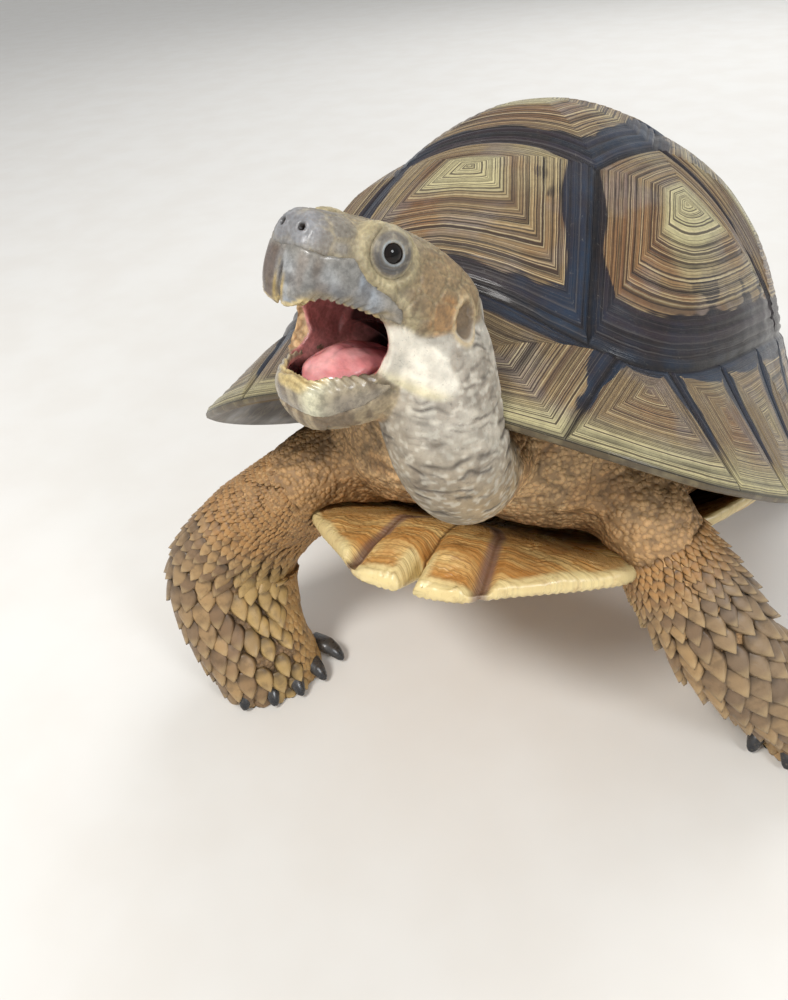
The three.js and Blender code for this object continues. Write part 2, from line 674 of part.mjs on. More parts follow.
const HINDLEG_STATIONS = {
  right: [
    [-56, 74, 46, 26, 22],
    [-80, 84, 38, 26, 22],
    [-100, 94, 24, 24, 21],
    [-106, 98, 8, 23, 22],
    [-107, 98, -6, 22, 21],
  ],
  left: [
    [54, 80, 56, 26, 22],
    [76, 100, 46, 26, 22],
    [96, 121, 28, 24, 21],
    [104, 134, 9, 23, 22],
    [105, 136, -6, 22, 21],
  ],
};
const TAIL_STATIONS = [
  [0, 108, 30, 17, 12],
  [2, 126, 22, 15, 11],
  [8, 139, 13, 11, 8.6],
  [17, 146, 7, 6.6, 5.4],
  [25, 147, 4.4, 3, 2.8],
];
const FOREFEET = {
  right: { at: [-98, -99], toes: 58 },
  left: { at: [132, -38], toes: 14 },
};
const HINDFEET = {
  right: { at: [-107, 98], toes: -12 },
  left: { at: [105, 135], toes: 18 },
};
const FORECLAW = { count: 5, reach: 19, span: 18, fan: 26, length: 10, radius: 4.4, level: 6.4 };
const HINDCLAW = { count: 4, reach: 18, span: 14, fan: 20, length: 12, radius: 4.4, level: 6 };

const GROUND_DEPTH = 40;
const GROUND_WIDTH = 800;
function groundSolid() {
  const slab = new THREE.BoxGeometry(GROUND_WIDTH, GROUND_WIDTH, GROUND_DEPTH);
  return solidOf(slab.translate(0, 0, -GROUND_DEPTH / 2));
}

const CLAW_ROOT = 7; // length of a claw inside the foot
const CLAW_ROW_CURVE = 6; // how far the outer claws of a row stand back
const CLAW_FLATNESS = 0.8;
// Each station of a claw: share of its length, rise and girth as shares of its radius.
const CLAW_STATIONS = [
  [0, 0, 1],
  [0.45, 0.2, 1],
  [0.75, -0.2, 0.8],
  [0.95, -0.85, 0.45],
  [1, -1.05, 0.2],
];

// Toes point forward, turned to the animal's left by the angle. The row of claws curves round them.
function clawLoft(foot, { count, reach, span, fan, length, radius, level }, index) {
  const share = (2 * index) / (count - 1) - 1; // -1 on the outer side, 1 on the inner
  const heading = (degrees) => vec(Math.sin(degToRad(degrees)), -Math.cos(degToRad(degrees)), 0);
  const toe = heading(foot.toes);
  const across = vec(-toe.y, toe.x, 0);
  const base = vec(foot.at[0], foot.at[1], level)
    .addScaledVector(across, share * span)
    .addScaledVector(toe, reach - CLAW_ROW_CURVE * share ** 2 - CLAW_ROOT);
  const out = heading(foot.toes + fan * share);
  const points = CLAW_STATIONS.map(([along, rise, girth]) => {
    const p = base.clone().addScaledVector(out, along * (length + CLAW_ROOT));
    return [p.x, p.y, level + rise * radius, girth * radius, girth * radius * CLAW_FLATNESS];
  });
  return solidOf(limbLoft(points, vec(-out.y, out.x, 0), { rings: 5, segments: 6, power: 2 }));
}

// Which way the wide side of each kind of leg runs: out from the body, and to the rear.
const LEG_WIDE_SIDE = { fore: [-0.62, 0.78], hind: [0.3, 0.95] };

function legLoft(stations, side, kind, grow = 0) {
  const shape = { rings: 11, segments: 12, power: 2.3, grow };
  const [out, rear] = LEG_WIDE_SIDE[kind];
  const wideSide = vec(out * SIDES[side], rear, 0);
  return solidOf(limbLoft(stations[side], wideSide, shape)).subtract(groundSolid());
}

// ---------------------------------------------------------------------------
// The whole animal
// ---------------------------------------------------------------------------

const COLOURS = {
  shell: new THREE.MeshStandardMaterial({ color: 0xa88a5a, roughness: 0.45 }),
  plastron: new THREE.MeshStandardMaterial({ color: 0xc9984e, roughness: 0.45 }),
  skin: new THREE.MeshStandardMaterial({ color: 0xb08a5e, roughness: 0.75 }),
  limb: new THREE.MeshStandardMaterial({ color: 0x8d7450, roughness: 0.7 }),
  head: new THREE.MeshStandardMaterial({ color: 0xa89a80, roughness: 0.5 }),
  beak: new THREE.MeshStandardMaterial({ color: 0x9aa0a6, roughness: 0.35 }),
  claw: new THREE.MeshStandardMaterial({ color: 0x2c3138, roughness: 0.3 }),
  eye: new THREE.MeshStandardMaterial({ color: 0x0c0a0a, roughness: 0.05 }),
  tongue: new THREE.MeshStandardMaterial({ color: 0xe08a90, roughness: 0.35 }),
};

function meshOf(name, solid, material) {
  const mesh = new THREE.Mesh(geometryOf(solid), material);
  mesh.name = name;
  return mesh;
}

function posedGroup(matrix, meshes) {
  const group = new THREE.Group();
  group.applyMatrix4(matrix);
  group.add(...meshes);
  return group;
}

function buildTortoise() {
  const shellPose = poseMatrix(STANCE.at, [STANCE.pitch, STANCE.roll, 0], "YXZ");
  const headPose = poseMatrix(HEAD.at, HEAD.turn);

  const carapace = solidOf(carapaceGeometry());
  const carapaceRoom = solidOf(carapaceGeometry(GAP));
  const underGround = moved(groundSolid(), shellPose.clone().invert());
  const plastron = cut(plastronSolid(), [carapaceRoom, underGround]);
  const plastronRoom = plastronSolid(GAP);
  const trunk = largestBody(cut(trunkSolid(), [carapaceRoom, plastronRoom]));
  const shellMeshes = [
    meshOf("carapace", carapace, COLOURS.shell),
    meshOf("plastron", plastron, COLOURS.plastron),
    meshOf("trunk", trunk, COLOURS.skin),
  ];
  const shellRoom = [carapaceRoom, plastronRoom, trunkSolid(GAP)].map((solid) => moved(solid, shellPose));

  const shellBehindHead = moved(shellRoom[0], headPose.clone().invert());
  const { head, beakUpper, jaw, beakLower, throat, tongue, eyes } = headPieces(shellBehindHead);
  const headMeshes = [
    meshOf("head", head, COLOURS.head),
    meshOf("beak_upper", beakUpper, COLOURS.beak),
    meshOf("jaw", jaw, COLOURS.head),
    meshOf("beak_lower", beakLower, COLOURS.beak),
    meshOf("throat", throat, COLOURS.skin),
    meshOf("tongue", tongue, COLOURS.tongue),
    meshOf("eye_left", eyes[0], COLOURS.eye),
    meshOf("eye_right", eyes[1], COLOURS.eye),
  ];
  const headRoom = [headShape(GAP), jawShape(GAP), throatSolid(GAP)].map((solid) => moved(solid, headPose));

  const neckShape = (grow) =>
    solidOf(limbLoft(NECK_STATIONS, vec(1, 0, 0), { rings: 9, segments: 16, power: 2, grow }));
  const neck = largestBody(cut(neckShape(0), [...shellRoom, ...headRoom]));

  const tailShape = solidOf(limbLoft(TAIL_STATIONS, vec(1, 0, 0), { rings: 8, segments: 10, power: 2 }));
  const tail = largestBody(cut(tailShape, [...shellRoom, groundSolid()]));

  const limbs = [];
  for (const side of Object.keys(SIDES)) {
    for (const [kind, stations, foot, claw] of [
      ["fore", FORELEG_STATIONS, FOREFEET[side], FORECLAW],
      ["hind", HINDLEG_STATIONS, HINDFEET[side], HINDCLAW],
    ]) {
      const leg = cut(legLoft(stations, side, kind), [...shellRoom, neckShape(GAP)]);
      limbs.push(meshOf(`${kind}leg_${side}`, largestBody(leg), COLOURS.limb));
      const room = legLoft(stations, side, kind, GAP);
      for (let index = 0; index < claw.count; index++) {
        const piece = largestBody(clawLoft(foot, claw, index).subtract(room));
        limbs.push(meshOf(`claw_${kind}_${side}_${index + 1}`, piece, COLOURS.claw));
      }
    }
  }

  const animal = new THREE.Group();
  animal.add(posedGroup(shellPose, shellMeshes), posedGroup(headPose, headMeshes));
  animal.add(meshOf("neck", neck, COLOURS.skin), meshOf("tail", tail, COLOURS.limb), ...limbs);
  // The origin is the middle of the foot of the whole animal's box.
  animal.updateMatrixWorld(true);
  const box = new THREE.Box3().setFromObject(animal, true);
  animal.position.set(-(box.min.x + box.max.x) / 2, -(box.min.y + box.max.y) / 2, -box.min.z);
  return animal;
}

export default buildTortoise();
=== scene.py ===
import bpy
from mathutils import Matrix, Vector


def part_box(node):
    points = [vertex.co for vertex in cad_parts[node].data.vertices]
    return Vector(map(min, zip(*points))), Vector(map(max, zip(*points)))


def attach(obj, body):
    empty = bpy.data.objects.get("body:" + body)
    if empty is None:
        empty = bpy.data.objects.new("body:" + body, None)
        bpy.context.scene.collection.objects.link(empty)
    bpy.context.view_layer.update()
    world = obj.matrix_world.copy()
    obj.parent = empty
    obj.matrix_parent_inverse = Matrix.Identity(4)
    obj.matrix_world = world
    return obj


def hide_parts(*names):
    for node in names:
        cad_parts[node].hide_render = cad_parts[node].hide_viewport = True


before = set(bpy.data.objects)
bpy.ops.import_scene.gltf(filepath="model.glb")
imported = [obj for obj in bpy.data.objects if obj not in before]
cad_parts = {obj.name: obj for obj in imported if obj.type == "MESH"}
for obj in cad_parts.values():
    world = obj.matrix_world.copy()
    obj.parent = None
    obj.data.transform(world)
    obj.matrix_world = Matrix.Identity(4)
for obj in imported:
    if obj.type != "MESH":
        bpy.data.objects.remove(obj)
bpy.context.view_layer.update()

# African spurred tortoise, reared up on its forelegs with its mouth open.
# Lengths are millimetres in the animal's standing frame: +Z up, -Y its front, +X its left side.
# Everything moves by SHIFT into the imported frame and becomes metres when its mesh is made.
import copy
import math

import bpy
import numpy as np
import openvdb
from mathutils import Matrix, Vector

MM = 0.001
SIDES = {"left": 1, "right": -1}

# ---- Frames ----

TURNS = {
    "X": lambda c, s: [[1, 0, 0], [0, c, -s], [0, s, c]],
    "Y": lambda c, s: [[c, 0, s], [0, 1, 0], [-s, 0, c]],
    "Z": lambda c, s: [[c, -s, 0], [s, c, 0], [0, 0, 1]],
}


def rotation(degrees, order="XYZ"):
    """The matrix of turns about X, Y and Z, multiplied in the order given."""
    result = np.eye(3)
    for axis in order:
        angle = math.radians(degrees["XYZ".index(axis)])
        result = result @ np.array(TURNS[axis](math.cos(angle), math.sin(angle)))
    return result


HEAD_AT = np.array([-9, -118.8, 212.4])
HEAD_TURN = rotation([-33, 11, -18.1])
JAW_HINGE = np.array([0, 17, -10])
JAW_TURN = rotation([30, 0, 0])
SHELL_AT = np.array([-2, 10, 46])
SHELL_TURN = rotation([-23.2, -4.9, 0], "YXZ")
EYE_AT = np.array([12, -10.2, 5.8])
EYE_RADIUS = 3.5


def from_head(points):
    return points @ HEAD_TURN.T + HEAD_AT


def to_head(points):
    return (points - HEAD_AT) @ HEAD_TURN


def from_jaw(points):
    return from_head((points - JAW_HINGE) @ JAW_TURN.T + JAW_HINGE)


def jaw_from_head(points):
    """Places in the closed jaw's frame, from places in the head's."""
    return (points - JAW_HINGE) @ JAW_TURN + JAW_HINGE


def to_jaw(points):
    return jaw_from_head(to_head(points))


def from_shell(points):
    return points @ SHELL_TURN.T + SHELL_AT


def box_middle(node):
    low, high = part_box(node)
    return (np.array(low) + np.array(high)) / 2


eyes_middle = (box_middle("eye_left") + box_middle("eye_right")) / 2
SHIFT = eyes_middle / MM - from_head(EYE_AT * [0, 1, 1])

# ---- Numbers: steps, noise and cells ----


def smoothstep(low, high, value):
    t = np.clip((value - low) / (high - low), 0, 1)
    return t * t * (3 - 2 * t)


def bump(value, centre, width):
    return np.exp(-(((value - centre) / width) ** 2))


def mixed(a, b, share):
    return a + (b - a) * share


HASH_PRIMES = (2654435761, 2246822519, 3266489917)
HASH_SEED_PRIME = 374761393
HASH_MIX_PRIME = 2246822519
WORD = 2**32


def hashed(cells, seed):
    """A number from 0 to 1 for each row of whole numbers."""
    result = np.full(cells.shape[:-1], seed * HASH_SEED_PRIME % WORD, np.uint32)
    for axis, prime in enumerate(HASH_PRIMES):
        result = result ^ (cells[..., axis].astype(np.int64) * prime & WORD - 1).astype(np.uint32)
        result ^= result >> np.uint32(15)
        result *= np.uint32(HASH_MIX_PRIME)
        result ^= result >> np.uint32(13)
    return result.astype(np.float64) / WORD


def corner_weights(t):
    """The corners of a cell, each with its weight for points at t in the cell."""
    for corner in np.ndindex(2, 2, 2):
        corner = np.array(corner)
        yield corner, np.prod(np.where(corner == 1, t, 1 - t), axis=-1)


def noise(points, size, seed):
    """Smooth noise from -1 to 1 with features of that size."""
    scaled = np.asarray(points) / size
    cell = np.floor(scaled).astype(np.int64)
    corners = corner_weights(smoothstep(0, 1, scaled - cell))
    return 2 * sum(weight * hashed(cell + corner, seed) for corner, weight in corners) - 1


def spots(points, size, seed, low=0.0, high=0.5):
    """0 to 1: spots of about that size, whose borders lie where the noise goes from low to high."""
    return smoothstep(low, high, noise(points, size, seed))


def drift(points, size, seeds):
    """Noise along each axis, with a seed for each."""
    return np.column_stack([noise(points, size, seed) for seed in seeds])


NOISE_LAYERS = 3


def layered(points, size, seed):
    """Noise in layers, each half as large and half as strong as the one before."""
    total = sum(noise(points, size / 2**i, seed + i) / 2**i for i in range(NOISE_LAYERS))
    return total / (2 - 2 ** (1 - NOISE_LAYERS))


BEYOND_CELLS = 9.0  # more cells than any middle is away


def cells(points, size, seed):
    """Cell noise: the distances to the two nearest cell middles, and the nearest one's number."""
    scaled = np.asarray(points) / size
    base = np.floor(scaled).astype(np.int64)
    nearest, second = np.full((2, len(scaled)), BEYOND_CELLS)
    number = np.zeros(len(scaled))
    for offset in np.ndindex(3, 3, 3):
        cell = base + np.array(offset) - 1
        middle = np.stack([hashed(cell, seed + 7 * axis) for axis in range(3)], axis=-1)
        distance = np.linalg.norm(cell + 0.15 + 0.7 * middle - scaled, axis=-1)
        closer = distance < nearest
        second = np.where(closer, nearest, np.minimum(second, distance))
        number = np.where(closer, hashed(cell, seed + 50), number)
        nearest = np.minimum(nearest, distance)
    return nearest * size, second * size, number


def ridged(value):
    """1 where the value crosses 0, falling to 0 away from it."""
    return np.clip(1 - np.abs(value), 0, 1)


# ---- Meshes ----


NO_QUADS, NO_TRIS = np.zeros((0, 4), int), np.zeros((0, 3), int)


def new_mesh_object(name, points, quads, tris=NO_TRIS, values=None, weld=False, flip=False):
    """A smooth mesh object. values maps names to one number or colour for each point."""
    quads, tris = np.asarray(quads, int), np.asarray(tris, int)
    if flip:
        quads, tris = quads[:, ::-1], tris[:, ::-1]
    corners = np.concatenate([quads.ravel(), tris.ravel()])
    places, kept = points, np.arange(len(points))
    if weld:
        _, first, kept = np.unique(np.round(points, 3), axis=0, return_index=True, return_inverse=True)
        places, kept = points[first], kept.ravel()
    mesh = bpy.data.meshes.new(name)
    mesh.vertices.add(len(places))
    mesh.vertices.foreach_set("co", ((places + SHIFT) * MM).astype(np.float32).ravel())
    mesh.loops.add(len(corners))
    mesh.loops.foreach_set("vertex_index", kept[corners].astype(np.int32))
    sizes = np.concatenate([np.full(len(quads), 4), np.full(len(tris), 3)])
    mesh.polygons.add(len(sizes))
    starts = np.concatenate([[0], np.cumsum(sizes)[:-1]])
    mesh.polygons.foreach_set("loop_start", starts.astype(np.int32))
    mesh.polygons.foreach_set("use_smooth", np.ones(len(sizes), bool))
    mesh.update(calc_edges=True)
    for key, value in (values or {}).items():
        value = np.asarray(value, np.float32)[corners if weld else slice(None)]
        kind, field = ("FLOAT", "value") if value.ndim == 1 else ("FLOAT_COLOR", "color")
        if value.ndim == 2:
            value = np.column_stack([value, np.ones(len(value), np.float32)])
        attribute = mesh.attributes.new(key, kind, "CORNER" if weld else "POINT")
        attribute.data.foreach_set(field, value.ravel())
    mesh.validate()
    item = bpy.data.objects.new(name, mesh)
    bpy.context.scene.collection.objects.link(item)
    return item


def joined(parts):
    """Several (points, quads, tris, values) as one."""
    starts = np.cumsum([0] + [len(part[0]) for part in parts])
    points = np.vstack([part[0] for part in parts])
    quads, tris = (np.vstack([part[i] + start for part, start in zip(parts, starts)]) for i in (1, 2))
    values = {key: np.concatenate([part[3][key] for part in parts]) for key in parts[0][3]}
    return points, quads, tris, values


def strip_quads(rows, columns):
    """Quads between rows of points, each row closed into a ring."""
    r, c = np.meshgrid(np.arange(rows - 1) * columns, np.arange(columns), indexing="ij")
    following = (c + 1) % columns
    corners = [r + c, r + following, r + columns + following, r + columns + c]
    return np.stack(corners, axis=-1).reshape(-1, 4)


def fan(first, columns, centre):
    """Triangles from a ring, whose points are numbered from first, to the point at its centre."""
    i = np.arange(columns)
    return np.column_stack([first + i, first + (i + 1) % columns, np.full(columns, centre)])


def loft(rings):
    """A closed surface through rings of points, with a fan over each end."""
    rows, columns = rings.shape[:2]
    points = np.vstack([rings.reshape(-1, 3), rings[0].mean(0), rings[-1].mean(0)])
    count = rows * columns
    start = fan(0, columns, count)[:, ::-1]
    end = np.roll(fan(count - columns, columns, count + 1), 1, axis=1)
    return points, strip_quads(rows, columns), np.vstack([start, end])


def round_angles(count):
    return np.linspace(0, 2 * np.pi, count, endpoint=False)


def lengths(vectors):
    """The vectors' lengths, shaped to divide them by."""
    return np.linalg.norm(vectors, axis=-1)[..., None]


def quad_spread(points, quads):
    """Each quad's normal, twice as long as its area."""
    corners = points[quads]
    return np.cross(corners[:, 2] - corners[:, 0], corners[:, 3] - corners[:, 1])


def point_normals(points, quads):
    spread = quad_spread(points, quads)
    sums = [np.bincount(quads.ravel(), np.repeat(part, 4), len(points)) for part in spread.T]
    normals = np.column_stack(sums)
    return normals / np.maximum(lengths(normals), 1e-9)


def signed_power(value, power):
    return np.sign(value) * np.abs(value) ** power


SLOPE_STEP = 1e-3  # a small step, to find how a formula slopes


def curve_through(stations, shares):
    """Points on the centripetal Catmull-Rom curve through the stations."""
    stations = np.asarray(stations, float)
    padded = np.vstack([2 * stations[0] - stations[1], stations, 2 * stations[-1] - stations[-2]])
    place = np.asarray(shares) * (len(stations) - 1)
    index = np.clip(np.floor(place).astype(int), 0, len(stations) - 2)
    t = (place - index)[:, None]
    p0, p1, p2, p3 = (padded[index + k] for k in range(4))
    gap = [np.maximum(np.sqrt(lengths(b - a)), 1e-4) for a, b in ((p0, p1), (p1, p2), (p2, p3))]
    start = ((p1 - p0) / gap[0] - (p2 - p0) / (gap[0] + gap[1]) + (p2 - p1) / gap[1]) * gap[1]
    finish = ((p2 - p1) / gap[1] - (p3 - p1) / (gap[1] + gap[2]) + (p3 - p2) / gap[2]) * gap[1]
    square = -3 * p1 + 3 * p2 - 2 * start - finish
    cube = 2 * p1 - 2 * p2 + start + finish
    return p1 + start * t + square * t**2 + cube * t**3


class Limb:
    """A limb along a smooth path. Each station is x, y, z, half width, half thickness."""

    def __init__(self, stations, wide_side, power=2.3, inset=0.0):
        self.stations = np.array(stations, float)
        self.wide_side = np.array(wide_side, float)
        self.power = power
        self.inset = inset

    def centre(self, shares):
        return curve_through(self.stations[:, :3], shares)

    def frames(self, shares):
        """The path's points, the directions across it and up, and half its width and thickness."""
        girths = np.column_stack([self.stations[:, 3:], np.zeros(len(self.stations))])
        wide, thick, _ = (curve_through(girths, shares) - self.inset).T
        ahead, behind = (self.centre(np.clip(shares + step, 0, 1)) for step in (SLOPE_STEP, -SLOPE_STEP))
        along = (ahead - behind) / lengths(ahead - behind)
        across = self.wide_side - along * (along @ self.wide_side)[:, None]
        across /= lengths(across)
        return self.centre(shares), across, np.cross(along, across), wide, thick

    def surface(self, shares, angles):
        """Points at matching shares along the limb and angles round it."""
        shares, angles = np.broadcast_arrays(np.asarray(shares, float), np.asarray(angles, float))
        centre, across, up, wide, thick = self.frames(shares.ravel())
        angle = angles.ravel()
        x = wide * signed_power(np.cos(angle), 2 / self.power)
        y = thick * signed_power(np.sin(angle), 2 / self.power)
        return (centre + across * x[:, None] + up * y[:, None]).reshape(*shares.shape, 3)

    def loft(self, rows, columns):
        return loft(self.surface(np.linspace(0, 1, rows)[:, None], round_angles(columns)[None, :]))


def smooth_rows(table, places):
    """Each column of a table of stations as a smooth curve over its first column."""
    table = np.asarray(table, float)
    x = table[:, 0]
    slopes = np.gradient(table[:, 1:], x, axis=0)
    index = np.clip(np.searchsorted(x, places) - 1, 0, len(x) - 2)
    width = (x[index + 1] - x[index])[:, None]
    t = (places - x[index])[:, None] / width
    start, finish = table[index, 1:], table[index + 1, 1:]
    return (
        (2 * t**3 - 3 * t**2 + 1) * start
        + (t**3 - 2 * t**2 + t) * width * slopes[index]
        + (3 * t**2 - 2 * t**3) * finish
        + (t**3 - t**2) * width * slopes[index + 1]
    )


def cross_loft(stations, place=from_head, rows=60, columns=72):
    """Rings across the Y axis. Each station is y, half width, top, bottom, widest level and power."""
    table = np.array(stations, float)
    y = np.linspace(table[0, 0], table[-1, 0], rows)
    half, top, bottom, level, power = smooth_rows(table, y).T[:, :, None]
    angle = round_angles(columns)[None, :]
    along = signed_power(np.sin(angle), 2 / power)
    x = half * signed_power(np.cos(angle), 2 / power)
    z = level + np.where(along > 0, top - level, level - bottom) * along
    points, quads, tris = loft(np.stack([x, np.broadcast_to(y[:, None], x.shape), z], axis=-1))
    return place(points), quads, tris


def ellipsoid(middle, radii, place=from_head, rows=32, columns=40):
    up = np.linspace(-np.pi / 2, np.pi / 2, rows + 2)[1:-1][:, None]
    turn = round_angles(columns)[None, :]
    unit = [np.cos(up) * np.cos(turn), np.cos(up) * np.sin(turn), np.sin(up) + 0 * turn]
    points, quads, tris = loft(np.stack(unit, -1))
    points[-2:] = [[0, 0, -1], [0, 0, 1]]
    return place(points * radii + middle), quads, tris


# ---- Solids as distances on a grid: negative inside ----


class Grid:
    """A block of evenly spaced points between two corners."""

    def __init__(self, low, high, step):
        self.step = step
        self.first = np.floor(np.array(low) / step).astype(int)
        self.shape = tuple(int(n) for n in np.ceil(np.array(high) / step).astype(int) - self.first)
        self.transform = openvdb.createLinearTransform(voxelSize=step)

    def part(self, window):
        """The grid of one window, a slice for each axis, of this grid's points."""
        part = copy.copy(self)
        part.first = self.first + [axis.start for axis in window]
        part.shape = tuple(axis.stop - axis.start for axis in window)
        return part

    def corner(self):
        """The whole number of the first point on each axis, as openvdb takes it."""
        return tuple(int(n) for n in self.first)

    def axes(self):
        """The grid's own x, y and z, each shaped to spread over it."""
        for axis in range(3):
            values = (self.first[axis] + np.arange(self.shape[axis])) * self.step
            shape = [1, 1, 1]
            shape[axis] = -1
            yield values.reshape(shape).astype(np.float32)

    def distance(self, surface, band):
        points, quads, tris = surface
        level = openvdb.FloatGrid.createLevelSetFromPolygons(
            np.ascontiguousarray(points, np.float32),
            triangles=np.ascontiguousarray(tris, np.uint32),
            quads=np.ascontiguousarray(quads, np.uint32),
            transform=self.transform,
            halfWidth=band / self.step,
        )
        result = np.empty(self.shape, np.float32)
        level.copyToArray(result, ijk=self.corner())
        return result

    def surface(self, distances):
        """The surface where the distance is 0, as points and quads that face out."""
        closed = distances.copy()
        for axis in range(3):
            for end in (0, -1):
                edge = [slice(None)] * 3
                edge[axis] = end
                closed[tuple(edge)] = np.maximum(closed[tuple(edge)], self.step)
        level = openvdb.FloatGrid(self.step * 3)
        level.copyFromArray(closed, ijk=self.corner())
        level.transform = self.transform
        points, quads = level.convertToQuads(0)
        points, quads = np.array(points, float), np.array(quads, int)
        if np.sum(quad_spread(points, quads) * points[quads[:, 0]]) < 0:
            quads = quads[:, ::-1]
        return points, quads

    def sample(self, distances, points):
        place = points / self.step - self.first
        place = np.clip(place, 0, np.array(self.shape) - 1.001)
        cell = place.astype(int)
        corners = corner_weights(place - cell)
        return sum(weight * distances[tuple((cell + corner).T)] for corner, weight in corners)


def union(a, b, k=0.0):
    """The two solids joined, with a fillet about k wide."""
    if k == 0:
        return np.minimum(a, b)
    share = np.clip(0.5 + 0.5 * (b - a) / k, 0, 1)
    return b + (a - b) * share - k * share * (1 - share)


def without(a, b, k=0.0):
    """The first solid without the second, with an edge about k round."""
    return -union(-a, b, k)


def blurred(distances, radius):
    """Distances smoothed over that many grid steps."""
    reach = int(math.ceil(2.5 * radius))
    weights = np.exp(-0.5 * (np.arange(-reach, reach + 1) / radius) ** 2)
    weights /= weights.sum()
    for axis in range(3):
        padded = np.pad(distances, [(reach, reach) if i == axis else (0, 0) for i in range(3)], mode="edge")
        size = distances.shape[axis]
        total = np.zeros_like(distances)
        for k, weight in enumerate(weights):
            window = [slice(None)] * 3
            window[axis] = slice(k, k + size)
            total += np.float32(weight) * padded[tuple(window)]
        distances = total
    return distances


def node_surface(name):
    """A CAD node's own mesh, in the standing frame."""
    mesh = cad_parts[name].data
    mesh.calc_loop_triangles()
    points = np.empty(len(mesh.vertices) * 3, np.float32)
    mesh.vertices.foreach_get("co", points)
    tris = np.empty(len(mesh.loop_triangles) * 3, np.int32)
    mesh.loop_triangles.foreach_get("vertices", tris)
    return points.reshape(-1, 3).astype(float) / MM - SHIFT, NO_QUADS, tris.reshape(-1, 3)


# ---- Colours and materials ----


def colour(code):
    """The linear colour of a hex code."""
    values = np.array([int(code[i : i + 2], 16) for i in (1, 3, 5)]) / 255
    return np.where(values <= 0.04045, values / 12.92, ((values + 0.055) / 1.055) ** 2.4)


class Paint:
    """Named colours laid over each other at points."""

    def __init__(self, count, base):
        self.values = np.tile(colour(base), (count, 1))

    def over(self, code, weight):
        weight = np.clip(weight, 0, 1)[:, None]
        self.values = mixed(self.values, colour(code)[None, :], weight)


# The Mix node's sockets for colours, whose names are also those of its sockets for numbers
COLOUR_A, COLOUR_B, COLOUR_RESULT = 6, 7, 2


class Shader:
    """A node material with short ways to make its nodes. Codes and numbers can stand for sockets."""

    def __init__(self, name, roughness=0.5, **sockets):
        self.material = bpy.data.materials.new(name)
        self.material.use_nodes = True
        self.tree = self.material.node_tree
        self.surface = self.tree.nodes["Principled BSDF"]
        self.fill(self.surface, Roughness=roughness, **sockets)

    def link(self, value, socket):
        if isinstance(value, bpy.types.NodeSocket):
            self.tree.links.new(value, socket)
        elif isinstance(value, str):
            socket.default_value = (*colour(value), 1)
        else:
            socket.default_value = value

    def fill(self, node, **inputs):
        for key, value in inputs.items():
            self.link(value, node.inputs[key.replace("_", " ")])

    def node(self, kind, **inputs):
        made = self.tree.nodes.new("ShaderNode" + kind)
        self.fill(made, **inputs)
        return made

    def place(self):
        return self.node("TexCoord").outputs["Object"]

    def stored(self, name, kind="Fac"):
        made = self.node("Attribute")
        made.attribute_name = name
        return made.outputs[kind]

    def math(self, operation, a, b):
        made = self.node("Math")
        made.operation = operation
        self.link(a, made.inputs[0])
        self.link(b, made.inputs[1])
        return made.outputs[0]

    def times(self, a, b):
        return self.math("MULTIPLY", a, b)

    def plus(self, a, b):
        return self.math("ADD", a, b)

    def noise(self, size_mm, detail=3.0, roughness=0.55, distortion=0.0):
        """Noise from 0 to 1 with features of that size."""
        made = self.node("TexNoise", Vector=self.place(), Scale=1000 / size_mm, Detail=detail)
        self.fill(made, Roughness=roughness, Distortion=distortion)
        return made.outputs["Fac"]

    def lines(self, where, detail=4.0, roughness=0.6):
        """Noise along one number, for growth lines."""
        made = self.node("TexNoise", Scale=1, Detail=detail, Roughness=roughness)
        made.noise_dimensions = "1D"
        self.link(where, made.inputs["W"])
        return made.outputs["Fac"]

    def cells(self, size_mm):
        return self.node("TexVoronoi", Vector=self.place(), Scale=1000 / size_mm).outputs["Distance"]

    def range(self, value, low, high, to_low=0.0, to_high=1.0):
        """A number that goes smoothly from one value to another as the given one goes from low to high."""
        made = self.node("MapRange", Value=value, From_Min=low, From_Max=high, To_Min=to_low, To_Max=to_high)
        made.interpolation_type = "SMOOTHSTEP"
        return made.outputs["Result"]

    def uneven(self, size_mm, detail, least, most):
        """A number that wanders between two values."""
        return self.range(self.noise(size_mm, detail), 0.3, 0.7, least, most)

    def mix(self, share, a, b, blend="MIX"):
        made = self.node("Mix")
        made.data_type = "RGBA"
        made.blend_type = blend
        for value, socket in ((share, 0), (a, COLOUR_A), (b, COLOUR_B)):
            self.link(value, made.inputs[socket])
        return made.outputs[COLOUR_RESULT]

    def over(self, base, code, value, low, high, most=1.0):
        """The base with a colour over it, which reaches its most as the value goes from low to high."""
        return self.mix(self.range(value, low, high, 0.0, most), base, code)

    def toned(self, base, tone):
        """The base made lighter or darker by a number about 1."""
        grey = self.node("CombineColor", Red=tone, Green=tone, Blue=tone).outputs[0]
        return self.mix(1.0, base, grey, "MULTIPLY")

    def relief(self, height, depth_mm, strength=1.0, after=None):
        made = self.node("Bump", Height=height, Strength=strength, Distance=depth_mm * MM)
        if after is not None:
            self.fill(made, Normal=after)
        return made.outputs["Normal"]

    def finish(self, base, roughness=None, normal=None):
        for value, key in ((base, "Base Color"), (roughness, "Roughness"), (normal, "Normal")):
            if value is not None:
                self.link(value, self.surface.inputs[key])
        return self.material


def dress(item, material, slot, *nodes):
    item.data.materials.append(material)
    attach(item, "root")
    if nodes:
        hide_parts(*nodes)


# ---- Carapace ----

